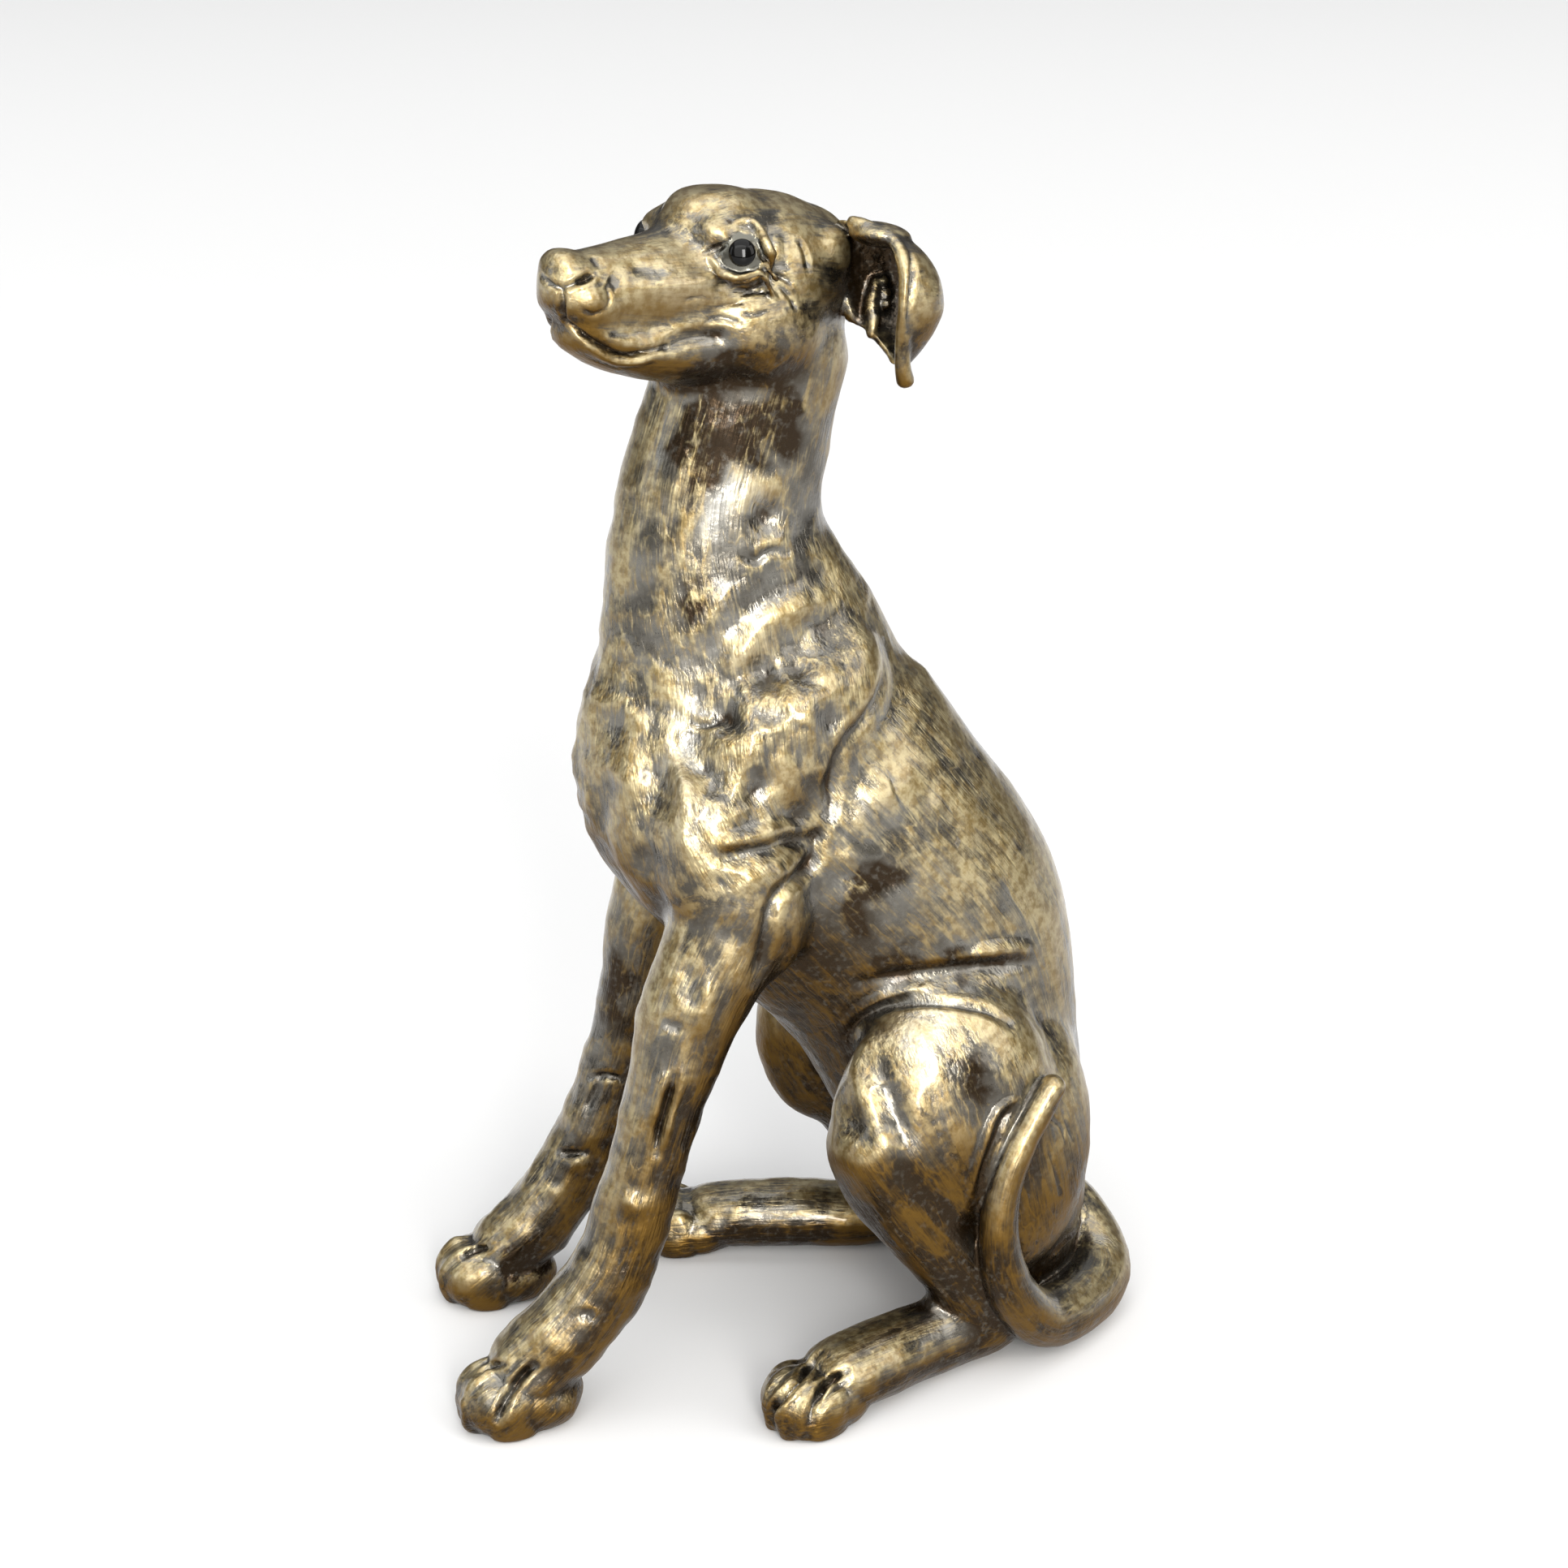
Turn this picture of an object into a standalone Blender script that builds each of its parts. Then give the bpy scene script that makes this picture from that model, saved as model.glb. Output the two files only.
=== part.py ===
"""Seated dog figurine: a resin casting with two inset eye beads.

The dog faces -Y and turns its head to its left, +X. It sits on the floor plane z = 0,
with the origin at the middle of its bounding box on that plane.
"""
import math

import bmesh
import bpy
import numpy as np
from mathutils import Matrix, Vector

# Driving dimensions, in metres
FIGURE_HEIGHT = 0.2433       # floor to the crown of the head
EYE_BEAD_DIAMETER = 0.0050
EYE_BEAD_DOME = 0.0011       # height of the bead's front above its rim
EYE_BEAD_DEPTH = 0.0022      # length of the bead's round body behind its rim
EYE_BEAD_PROUD = 0.0003      # rim of the bead above the eyeball
EYE_SOCKET_GAP = 0.0003      # all round and behind the bead
EYE_SOCKET_MOUTH = 0.0012    # how far the socket opens above the bead's dome

# The free form is drawn in millimetres for a crown 243.3 mm above the floor,
# and every drawn number is multiplied by UNIT, so the form follows the height.
DRAWN_HEIGHT = 243.3
UNIT = FIGURE_HEIGHT / DRAWN_HEIGHT
BOX_CENTRE = (1.9, -1.6)     # middle of the drawn figure's box, moved to the origin

# Fineness of the modelling, in drawn millimetres
MASS_VOXEL = 1.5
DETAIL_VOXEL = 0.95
MASS_ROUNDING = 10           # passes of smoothing after the masses are fused
DETAIL_ROUNDING = 2
BODY_TRIANGLES = 8900
PATH_STEPS = 6
TUBE_SIDES = 24
TUBE_END_ANGLES = (75.0, 55.0, 30.0)
TUBE_END_REACH = 0.8         # length of a tube's domed end over its smaller half size
BEND_PASSES = 12             # evens out how a tube's rings turn along a bend
EAR_WALL_POINTS = 16
BEAD_SIDES = 20
BEAD_RINGS = 4

LEFT, RIGHT = 1.0, -1.0
ACROSS = Vector((1.0, 0.0, 0.0))

# Trunk and neck, rump to nape: x, y, z, half width across, half depth
TRUNK = (
    (0.0, 44.5, 13.0, 23.0, 19.0), (0.0, 42.0, 32.0, 26.5, 23.5), (0.0, 35.5, 58.0, 26.0, 27.5),
    (0.0, 26.5, 86.0, 25.5, 33.5), (0.0, 9.5, 108.0, 26.0, 36.0), (0.0, -8.0, 131.0, 23.5, 37.5),
    (0.0, -11.0, 155.0, 18.5, 29.0), (0.0, -15.0, 178.0, 15.5, 21.2), (0.0, -10.5, 199.0, 14.0, 19.0),
    (0.5, -5.5, 214.0, 13.2, 17.5),
)
# Muscles of one side, with x outwards: start, end, half width, half depth
MUSCLES = (
    ((13.0, 9.0, 152.0), (21.0, -20.0, 126.0), 10.0, 15.0),
    ((21.0, -24.0, 130.0), (24.0, -13.0, 97.0), 11.0, 14.0),
    ((9.0, -30.0, 142.0), (12.0, -27.0, 106.0), 11.0, 12.0),
    ((6.0, 7.0, 160.0), (9.0, 7.0, 138.0), 6.5, 9.0),
    ((14.0, 39.0, 70.0), (24.0, 36.0, 26.0), 16.0, 22.0),
    ((26.0, 30.0, 77.0), (29.0, 18.0, 38.0), 13.0, 23.5),
)
MUSCLE_END = 0.6             # length past each end over the smaller half size
# Front leg, elbow to wrist to instep: x, y, z, half width across, half depth
FRONT_LEG_LEFT = (
    (23.0, -19.0, 102.0, 10.0, 12.5), (24.0, -27.5, 85.0, 9.5, 10.5), (24.5, -32.0, 71.0, 8.4, 8.8),
    (24.8, -35.5, 59.0, 7.8, 8.2), (25.0, -39.0, 47.0, 7.8, 8.3), (25.0, -43.0, 35.0, 7.9, 8.4),
    (24.8, -49.0, 24.5, 8.2, 9.2), (24.6, -57.2, 15.4, 8.8, 9.2), (24.6, -63.0, 10.8, 9.0, 8.6),
)
FRONT_LEG_RIGHT = (
    (-23.0, -17.0, 102.0, 10.0, 12.5), (-24.5, -23.0, 85.0, 9.5, 10.5), (-25.2, -26.0, 71.0, 8.4, 8.8),
    (-25.8, -29.0, 59.0, 7.8, 8.2), (-26.2, -32.5, 47.0, 7.8, 8.4), (-26.6, -37.5, 35.0, 7.9, 8.2),
    (-27.0, -43.5, 24.0, 8.2, 8.4), (-27.2, -52.0, 14.5, 8.8, 8.4), (-27.4, -57.5, 10.2, 9.0, 8.0),
)
# Shin and hind foot, knee to toes: x, y, z, half width across, half depth
HIND_LEG_LEFT = (
    (29.0, 8.0, 55.0, 11.5, 9.5), (30.0, 18.0, 39.0, 9.5, 10.0), (29.8, 28.5, 23.0, 7.8, 9.0),
    (27.5, 35.0, 11.0, 7.4, 9.0), (28.2, 28.0, 8.2, 7.4, 8.2), (32.0, 17.5, 8.2, 7.8, 8.0),
    (36.3, 7.0, 8.2, 8.4, 8.0), (39.8, -2.0, 7.8, 8.8, 7.8),
)
HIND_LEG_RIGHT = (
    (-28.0, 11.0, 55.0, 11.5, 9.5), (-29.5, 21.0, 39.0, 9.5, 9.5), (-29.5, 30.0, 23.0, 7.6, 8.5),
    (-27.0, 36.0, 10.0, 7.6, 8.5), (-27.5, 26.0, 7.0, 8.0, 7.2), (-30.0, 14.0, 7.6, 8.4, 7.6),
    (-33.5, 2.0, 7.4, 8.6, 7.6), (-36.5, -9.0, 7.0, 8.8, 7.0),
)
# Tail, out of the rump, round the left side and up the thigh
TAIL = (
    (-4.0, 55.0, 22.0, 9.0, 9.0), (2.0, 63.5, 14.5, 8.2, 8.2), (12.0, 65.5, 8.2, 7.6, 7.6),
    (23.0, 56.5, 7.0, 7.0, 7.0), (31.0, 45.5, 9.5, 6.3, 6.3), (37.0, 37.0, 19.5, 5.2, 5.2),
    (39.5, 32.8, 31.5, 4.3, 4.3), (39.8, 32.8, 43.0, 3.7, 3.7), (39.0, 35.8, 52.5, 3.4, 3.4),
    (37.6, 40.5, 60.0, 3.1, 3.1), (36.4, 44.5, 65.5, 2.6, 2.6),
)
# Paws: middle of the toes, turn outwards in degrees, half width, half length, height
PAWS = (
    (24.8, -65.8, 2.0, 9.4, 11.0, 15.6),
    (-27.4, -60.5, -2.0, 9.4, 11.0, 15.0),
    (41.6, -7.6, 24.0, 9.2, 10.6, 14.6),
    (-38.2, -14.5, -14.0, 9.2, 10.6, 14.6),
)
# Toes of a paw, as shares of its half width and length: sideways, forwards, size
TOES = ((-0.70, -0.20, 0.86), (-0.25, 0.12, 1.0), (0.25, 0.12, 1.0), (0.70, -0.20, 0.86))
# Other shares of a paw's half width, half length and height
INSTEP_MIDDLE, INSTEP_HALF_HEIGHT = (0.35, 0.34), 0.48
TOE_FORWARDS, TOE_UP = 0.3, 0.36
TOE_HALVES = (0.33, 0.62, 0.52)
# Grooves between the toes: shares of the half width, then of the way forwards and the height
TOE_GROOVES = (-0.48, 0.0, 0.48)
GROOVE_LINE = ((0.0, 0.88), (0.59, 0.78), (0.93, 0.4), (0.98, 0.0))
GROOVE_ROUNDING = 0.5        # how much sooner the outer grooves end
TOE_GROOVE_DEPTH, TOE_GROOVE_WIDTH = 1.6, 1.2

# Head, in its own axes: forward, left and up from its middle, in drawn millimetres
HEAD_MIDDLE = (3.1, -13.4, 225.5)
HEAD_TURN = 26.5             # degrees to the dog's left
HEAD_LIFT = 10.6             # degrees, nose up
MUZZLE = (
    (0.0, 0.0, 0.0, 13.0, 13.0), (12.0, 0.0, -1.4, 11.6, 10.2), (20.0, 0.0, -2.6, 10.0, 9.3),
    (28.0, 0.0, -3.4, 8.6, 8.4), (35.0, 0.0, -3.8, 7.4, 7.2), (39.5, 0.0, -4.0, 6.0, 5.8),
)
JAW = (
    (-2.0, 0.0, -9.5, 11.5, 9.5), (10.0, 0.0, -12.2, 11.0, 8.0), (20.0, 0.0, -13.4, 9.4, 6.4),
    (28.0, 0.0, -13.4, 8.0, 5.2), (36.0, 0.0, -12.2, 6.2, 3.6),
)
# Rounded masses of the head: middle and half sizes; where left is over 0 both sides have one
HEAD_MASSES = (
    ((-7.5, 0.0, 1.0), (19.0, 16.2, 16.4)),
    ((4.0, 0.0, 8.8), (12.5, 11.5, 8.6)),
    ((-16.0, 0.0, 2.0), (13.5, 13.5, 14.0)),
    ((-3.0, 8.4, -7.5), (14.0, 9.0, 10.5)),
    ((9.8, 9.6, 9.8), (6.3, 5.0, 4.2)),
    ((35.0, 4.4, -5.8), (6.8, 4.1, 4.8)),
    ((40.5, 0.0, -0.4), (4.0, 5.2, 4.0)),
    ((-15.5, 14.5, 7.0), (5.0, 4.5, 6.5)),
)
EYE_PLACE = (10.2, 14.2, 6.0)
EYE_FACING = (0.64, 0.74, 0.20)
EYEBALL_RADIUS = 6.0
EYE_HOLLOW, EYE_HOLLOW_WIDTH = 1.4, 6.5
EYE_HOLLOW_HALF_LENGTH = 2.0
# Eyelids, seen from in front of the eye: towards the ear, upwards
UPPER_LID = ((-7.2, -0.5), (-4.0, 4.0), (0.4, 6.2), (3.8, 4.4), (5.6, 0.2), (8.0, -4.8))
LOWER_LID = ((-7.6, -2.6), (-3.7, -4.6), (1.0, -4.4), (4.6, -3.0))
LID_THICKNESS = 1.1
LID_BEND = 9.0
# Mouth line of one side, lip to corner: forward, left, up
MOUTH = (
    (41.5, 0.0, -9.2), (40.5, 3.0, -9.6), (38.0, 5.2, -11.2), (34.5, 6.8, -12.6), (30.5, 8.2, -13.8),
    (26.5, 9.4, -13.8), (22.0, 10.4, -12.2),
)
MOUTH_DEPTH, MOUTH_WIDTH = 1.8, 1.2
# Ear: a cupped lobe open forwards: height, middle forward and left, radius
EAR_RINGS = (
    (13.6, -15.5, 17.6, 2.6), (11.5, -18.8, 20.0, 6.2), (7.0, -20.8, 21.6, 8.8), (1.0, -22.0, 22.8, 9.4),
    (-4.0, -22.4, 23.2, 8.0), (-8.0, -22.5, 23.7, 5.6), (-11.5, -22.2, 24.6, 2.8),
)
EAR_FIRST_ANGLE, EAR_LAST_ANGLE = 58.0, 335.0
EAR_WALL = 2.6
EAR_ROOF, EAR_ROOF_HALVES = (-18.6, 20.0, 12.0), (6.0, 6.0, 2.4)
EAR_RIM = (
    (-14.5, 19.2, 13.4, 1.6, 1.6), (-15.8, 24.2, 10.4, 1.7, 1.7), (-16.8, 27.6, 5.5, 1.8, 1.8),
    (-17.6, 28.8, 0.5, 1.9, 1.9), (-19.2, 28.4, -4.5, 1.9, 1.9), (-21.6, 27.2, -9.5, 1.8, 1.8),
    (-23.4, 27.0, -14.0, 1.8, 1.8),
)
# Colour, metallic and roughness
ANTIQUE_GOLD = ((0.42, 0.30, 0.13), 0.75, 0.38)
GLOSS_BLACK = ((0.004, 0.004, 0.004), 0.0, 0.08)


def head_matrix():
    """Matrix from the head's forward, left and up to the drawn figure's x, y and z."""
    turn, lift = math.radians(HEAD_TURN), math.radians(HEAD_LIFT)
    forward = Vector((math.sin(turn) * math.cos(lift), -math.cos(turn) * math.cos(lift), math.sin(lift)))
    left = Vector((math.cos(turn), math.sin(turn), 0.0))
    axes = Matrix((forward, left, forward.cross(left))).transposed()
    return Matrix.Translation(HEAD_MIDDLE) @ axes.to_4x4()


HEAD = head_matrix()
BODY = Matrix.Identity(4)


def smooth_rows(rows, steps):
    """Rows read from a smooth curve through the given rows, ends included."""
    rows = np.array(rows, float)
    padded = np.vstack((2.0 * rows[0] - rows[1], rows, 2.0 * rows[-1] - rows[-2]))
    out = []
    for i in range(len(rows) - 1):
        a, b, c, d = padded[i:i + 4]
        for t in np.linspace(0.0, 1.0, steps, endpoint=False):
            out.append(0.5 * (2.0 * b + (c - a) * t + (2.0 * a - 5.0 * b + 4.0 * c - d) * t ** 2
                              + (3.0 * b - a - 3.0 * c + d) * t ** 3))
    out.append(rows[-1])
    return np.array(out)


def loft(clay, rings, matrix):
    """Close a row of equal rings of points into one skin with a face on each end."""
    verts = [[clay.verts.new(matrix @ Vector(point)) for point in ring] for ring in rings]
    sides = len(verts[0])
    for low, high in zip(verts, verts[1:]):
        for i in range(sides):
            j = (i + 1) % sides
            clay.faces.new((low[i], low[j], high[j], high[i]))
    clay.faces.new(verts[0][::-1])
    clay.faces.new(verts[-1])


def tube(clay, rows, matrix=BODY, across=ACROSS):
    """Oval tube through rows of x, y, z, half width and half depth, with domed ends."""
    rows = smooth_rows(rows, PATH_STEPS)
    path = rows[:, :3]
    tangents = np.gradient(path, axis=0)
    for _ in range(BEND_PASSES):
        tangents[1:-1] = (tangents[:-2] + 2.0 * tangents[1:-1] + tangents[2:]) / 4.0
    rings = []

    def ring(centre, tangent, half_width, half_depth):
        tangent = Vector(tangent).normalized()
        side = (across - across.dot(tangent) * tangent).normalized()
        deep = tangent.cross(side)
        for k in range(TUBE_SIDES):
            a = math.tau * k / TUBE_SIDES
            yield Vector(centre) + side * half_width * math.cos(a) + deep * half_depth * math.sin(a)

    def end_rings(row, tangent, sign):
        reach = sign * min(row[3], row[4]) * TUBE_END_REACH
        unit = tangent / np.linalg.norm(tangent)
        for angle in np.radians(TUBE_END_ANGLES):
            yield ring(row[:3] + unit * reach * math.sin(angle), tangent,
                       row[3] * math.cos(angle), row[4] * math.cos(angle))

    rings += end_rings(rows[0], tangents[0], -1.0)
    rings += [ring(row[:3], tangent, row[3], row[4]) for row, tangent in zip(rows, tangents)]
    rings += list(end_rings(rows[-1], tangents[-1], 1.0))[::-1]
    loft(clay, rings, matrix)


def ellipsoid(clay, middle, halves, matrix=BODY, turn=None):
    """Rounded mass with the given half sizes, turned by an optional matrix."""
    turn = turn or Matrix.Identity(4)
    place = matrix @ Matrix.Translation(middle) @ turn @ Matrix.Diagonal((*halves, 1.0))
    bmesh.ops.create_icosphere(clay, subdivisions=3, radius=1.0, matrix=place)


def muscle(clay, start, end, half_width, half_depth, side):
    """Spindle from start to end, mirrored to one side."""
    start = Vector((start[0] * side, start[1], start[2]))
    end = Vector((end[0] * side, end[1], end[2]))
    along = (end - start).normalized()
    across = (ACROSS - ACROSS.dot(along) * along).normalized()
    turn = Matrix((across, along.cross(across), along)).transposed().to_4x4()
    half_length = (end - start).length / 2.0 + min(half_width, half_depth) * MUSCLE_END
    halves = (half_width, half_depth, half_length)
    ellipsoid(clay, (start + end) / 2.0, halves, turn=turn)


def paw(clay, x, y, turn, half_width, half_length, height):
    """Instep and four toes, the middle two set forwards."""
    matrix = Matrix.Translation((x, y, 0.0)) @ Matrix.Rotation(math.radians(turn), 4, "Z")
    middle = (0.0, half_length * INSTEP_MIDDLE[0], height * INSTEP_MIDDLE[1])
    ellipsoid(clay, middle, (half_width, half_length, height * INSTEP_HALF_HEIGHT), matrix)
    for sideways, forwards, size in TOES:
        middle = (half_width * sideways, -half_length * (TOE_FORWARDS + forwards), height * TOE_UP * size)
        halves = np.array(TOE_HALVES) * (half_width, half_length * size, height * size)
        ellipsoid(clay, middle, halves, matrix)


def ear(clay, side):
    """Cupped lobe: a curved wall, swept down its height, with a thick rim to its tip."""
    mirror = HEAD @ Matrix.Diagonal((1.0, side, 1.0, 1.0))
    angles = np.radians(np.linspace(EAR_FIRST_ANGLE, EAR_LAST_ANGLE, EAR_WALL_POINTS))
    rings = []
    for up, forward, left, radius in smooth_rows(EAR_RINGS, 3):
        wall = min(EAR_WALL, radius)
        outer = [(forward + radius * math.cos(a), left + radius * math.sin(a), up) for a in angles]
        inner = [(forward + (radius - wall) * math.cos(a), left + (radius - wall) * math.sin(a), up)
                 for a in angles[::-1]]
        rings.append(outer + inner)
    loft(clay, rings, mirror)
    ellipsoid(clay, EAR_ROOF, EAR_ROOF_HALVES, mirror)
    tube(clay, EAR_RIM, mirror)


def head_masses(clay):
    for middle, halves in HEAD_MASSES:
        for side in (LEFT, RIGHT) if middle[1] > 0.0 else (LEFT,):
            ellipsoid(clay, (middle[0], middle[1] * side, middle[2]), halves, HEAD)
    across = Vector((0.0, 1.0, 0.0))
    tube(clay, MUZZLE, HEAD, across)
    tube(clay, JAW, HEAD, across)


def eye_matrix(side):
    """Matrix at the middle of a bead's rim, with its z axis looking out of the eye."""
    facing = Vector((EYE_FACING[0], EYE_FACING[1] * side, EYE_FACING[2])).normalized()
    place = Vector((EYE_PLACE[0], EYE_PLACE[1] * side, EYE_PLACE[2]))
    return HEAD @ Matrix.Translation(place) @ facing.to_track_quat("Z", "Y").to_matrix().to_4x4()


def lid(clay, line, side):
    """Eyelid: a thin roll lying on the front of the eye."""
    rows = [(x * side, y, -(x * x + y * y) / (2.0 * LID_BEND), LID_THICKNESS, LID_THICKNESS) for x, y in line]
    tube(clay, rows, eye_matrix(side), Vector((0.0, 0.0, 1.0)))


def distance_to_line(points, line):
    """Distance of every point from a line of straight pieces."""
    best = np.full(len(points), np.inf)
    for a, b in zip(line, line[1:]):
        along = b - a
        length_squared = along @ along
        share = np.zeros(len(points))
        if length_squared > 0.0:
            share = np.clip((points - a) @ along / length_squared, 0.0, 1.0)
        best = np.minimum(best, np.linalg.norm(points - a - share[:, None] * along, axis=1))
    return best


def carve(obj, lines):
    """Press lines into the skin: each has drawn points near it, a depth and a width."""
    mesh = obj.data
    points = np.empty(len(mesh.vertices) * 3)
    mesh.vertices.foreach_get("co", points)
    points = points.reshape(-1, 3)
    normals = np.array([normal.vector[:] for normal in mesh.vertex_normals])
    sink = np.zeros(len(points))
    for line, depth, width in lines:
        line = [np.array((Vector(p) - Vector((*BOX_CENTRE, 0.0))) * UNIT) for p in line]
        line = [points[np.argmin(np.linalg.norm(points - p, axis=1))] for p in line]
        near = distance_to_line(points, line) / (width * UNIT)
        sink = np.maximum(sink, depth * UNIT * np.exp(-near ** 2))
    mesh.vertices.foreach_set("co", (points - normals * sink[:, None]).ravel())
    mesh.update()


def eye_hollows():
    """The hollow round each eye, as one short line to carve."""
    for side in (LEFT, RIGHT):
        place = eye_matrix(side)
        line = [place @ Vector((x, 0.0, 0.0)) for x in (-EYE_HOLLOW_HALF_LENGTH, EYE_HOLLOW_HALF_LENGTH)]
        yield line, EYE_HOLLOW, EYE_HOLLOW_WIDTH


def toe_grooves():
    """Lines over each paw, between its toes, down to the floor."""
    for x, y, turn, half_width, half_length, height in PAWS:
        matrix = Matrix.Translation((x, y, 0.0)) @ Matrix.Rotation(math.radians(turn), 4, "Z")
        for sideways in TOE_GROOVES:
            reach = half_length * (1.0 - GROOVE_ROUNDING * sideways ** 2)
            line = [matrix @ Vector((half_width * sideways, -reach * forwards, height * up))
                    for forwards, up in GROOVE_LINE]
            yield line, TOE_GROOVE_DEPTH, TOE_GROOVE_WIDTH


def mouth_lines():
    for side in (LEFT, RIGHT):
        line = [HEAD @ Vector((f, left * side, up)) for f, left, up in smooth_rows(MOUTH, 3)]
        yield line, MOUTH_DEPTH, MOUTH_WIDTH


def body_masses(clay):
    tube(clay, TRUNK)
    for side in (LEFT, RIGHT):
        for start, end, half_width, half_depth in MUSCLES:
            muscle(clay, start, end, half_width, half_depth, side)
    for leg in (FRONT_LEG_LEFT, FRONT_LEG_RIGHT, HIND_LEG_LEFT, HIND_LEG_RIGHT):
        tube(clay, leg)
    head_masses(clay)


def details(clay):
    for row in PAWS:
        paw(clay, *row)
    for side in (LEFT, RIGHT):
        ear(clay, side)
        eyeball = eye_matrix(side) @ Vector((0.0, 0.0, -EYEBALL_RADIUS))
        ellipsoid(clay, eyeball, (EYEBALL_RADIUS,) * 3)
        lid(clay, UPPER_LID, side)
        lid(clay, LOWER_LID, side)
    tube(clay, TAIL)


def add_object(name, mesh):
    obj = bpy.data.objects.new(name, mesh)
    bpy.context.scene.collection.objects.link(obj)
    return obj


def apply_modifiers(obj):
    """Replace the object's mesh with its modified one."""
    graph = bpy.context.evaluated_depsgraph_get()
    mesh = bpy.data.meshes.new_from_object(obj.evaluated_get(graph))
    obj.modifiers.clear()
    obj.data = mesh


def fuse(obj, voxel, smoothing):
    """Melt overlapping masses into one skin and round it off."""
    remesh = obj.modifiers.new("one_skin", "REMESH")
    remesh.mode = "VOXEL"
    remesh.voxel_size = voxel * UNIT
    smooth = obj.modifiers.new("round_off", "SMOOTH")
    smooth.factor = 0.5
    smooth.iterations = smoothing
    apply_modifiers(obj)


def new_body():
    """The whole casting, before the eye sockets."""
    clay = bmesh.new()
    body_masses(clay)
    obj = add_object("dog_body", bpy.data.meshes.new("dog_body"))
    shift = Matrix.Translation((-BOX_CENTRE[0], -BOX_CENTRE[1], 0.0))
    to_metres = Matrix.Scale(UNIT, 4) @ shift
    clay.transform(to_metres)
    clay.to_mesh(obj.data)
    clay.free()
    fuse(obj, MASS_VOXEL, MASS_ROUNDING)
    carve(obj, eye_hollows())

    clay = bmesh.new()
    details(clay)
    clay.transform(to_metres)
    clay.from_mesh(obj.data)
    clay.to_mesh(obj.data)
    clay.free()
    fuse(obj, DETAIL_VOXEL, DETAIL_ROUNDING)
    carve(obj, [*mouth_lines(), *toe_grooves()])
    return obj


def material(name, colour, metallic, roughness):
    mat = bpy.data.materials.new(name)
    mat.use_nodes = True
    shader = mat.node_tree.nodes["Principled BSDF"]
    shader.inputs["Base Color"].default_value = (*colour, 1.0)
    shader.inputs["Metallic"].default_value = metallic
    shader.inputs["Roughness"].default_value = roughness
    return mat


def cut(obj, cutter):
    """Take the cutter's shape out of the object, then remove the cutter."""
    cutter.hide_render = True
    cutter.display_type = "WIRE"
    boolean = obj.modifiers.new("cut", "BOOLEAN")
    boolean.operation = "DIFFERENCE"
    boolean.solver = "EXACT"
    boolean.object = cutter
    apply_modifiers(obj)
    bpy.data.objects.remove(cutter)


def floor_block():
    """Block under the floor plane, to cut the soles flat."""
    clay = bmesh.new()
    bmesh.ops.create_cube(clay, size=FIGURE_HEIGHT)
    bmesh.ops.translate(clay, verts=clay.verts, vec=(0.0, 0.0, -FIGURE_HEIGHT / 2.0))
    obj = add_object("floor_block", bpy.data.meshes.new("floor_block"))
    clay.to_mesh(obj.data)
    clay.free()
    return obj


def turned_bead(name, side, radius, depth, dome):
    """Round body with a domed front, set on one eye."""
    profile = [(radius, -depth)]
    for ring in range(BEAD_RINGS):
        a = math.pi / 2.0 * ring / BEAD_RINGS
        profile.append((radius * math.cos(a), EYE_BEAD_PROUD + dome * math.sin(a)))
    clay = bmesh.new()
    verts = []
    for r, z in profile:
        turns = [math.tau * k / BEAD_SIDES for k in range(BEAD_SIDES)]
        verts.append([clay.verts.new((r * math.cos(a), r * math.sin(a), z)) for a in turns])
    top = clay.verts.new((0.0, 0.0, EYE_BEAD_PROUD + dome))
    for low, high in zip(verts, verts[1:]):
        for k in range(BEAD_SIDES):
            j = (k + 1) % BEAD_SIDES
            clay.faces.new((low[k], low[j], high[j], high[k]))
    for k in range(BEAD_SIDES):
        clay.faces.new((verts[-1][k], verts[-1][(k + 1) % BEAD_SIDES], top))
    clay.faces.new(verts[0][::-1])
    place = eye_matrix(side)
    shift = Vector((-BOX_CENTRE[0], -BOX_CENTRE[1], 0.0))
    clay.transform(Matrix.Translation((place.translation + shift) * UNIT) @ place.to_3x3().to_4x4())
    obj = add_object(name, bpy.data.meshes.new(name))
    clay.to_mesh(obj.data)
    clay.free()
    return obj


def main():
    for obj in list(bpy.data.objects):
        bpy.data.objects.remove(obj)
    gold = material("antique_gold_resin", *ANTIQUE_GOLD)
    black = material("black_gloss_eye", *GLOSS_BLACK)

    body = new_body()
    reduce = body.modifiers.new("fewer_faces", "DECIMATE")
    reduce.ratio = min(1.0, BODY_TRIANGLES / (2.0 * len(body.data.polygons)))
    apply_modifiers(body)
    cut(body, floor_block())
    radius = EYE_BEAD_DIAMETER / 2.0
    for side, name in ((LEFT, "eye_bead_left"), (RIGHT, "eye_bead_right")):
        cut(body, turned_bead("socket", side, radius + EYE_SOCKET_GAP, EYE_BEAD_DEPTH + EYE_SOCKET_GAP,
                              EYE_BEAD_DOME + EYE_SOCKET_MOUTH))
        bead = turned_bead(name, side, radius, EYE_BEAD_DEPTH, EYE_BEAD_DOME)
        bead.data.materials.append(black)
        bead.data.shade_smooth()
    body.data.materials.clear()
    body.data.materials.append(gold)
    body.data.shade_smooth()


main()
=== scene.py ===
import itertools
import math

import bmesh
import bpy
import numpy as np
from mathutils import Matrix, Vector


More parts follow.
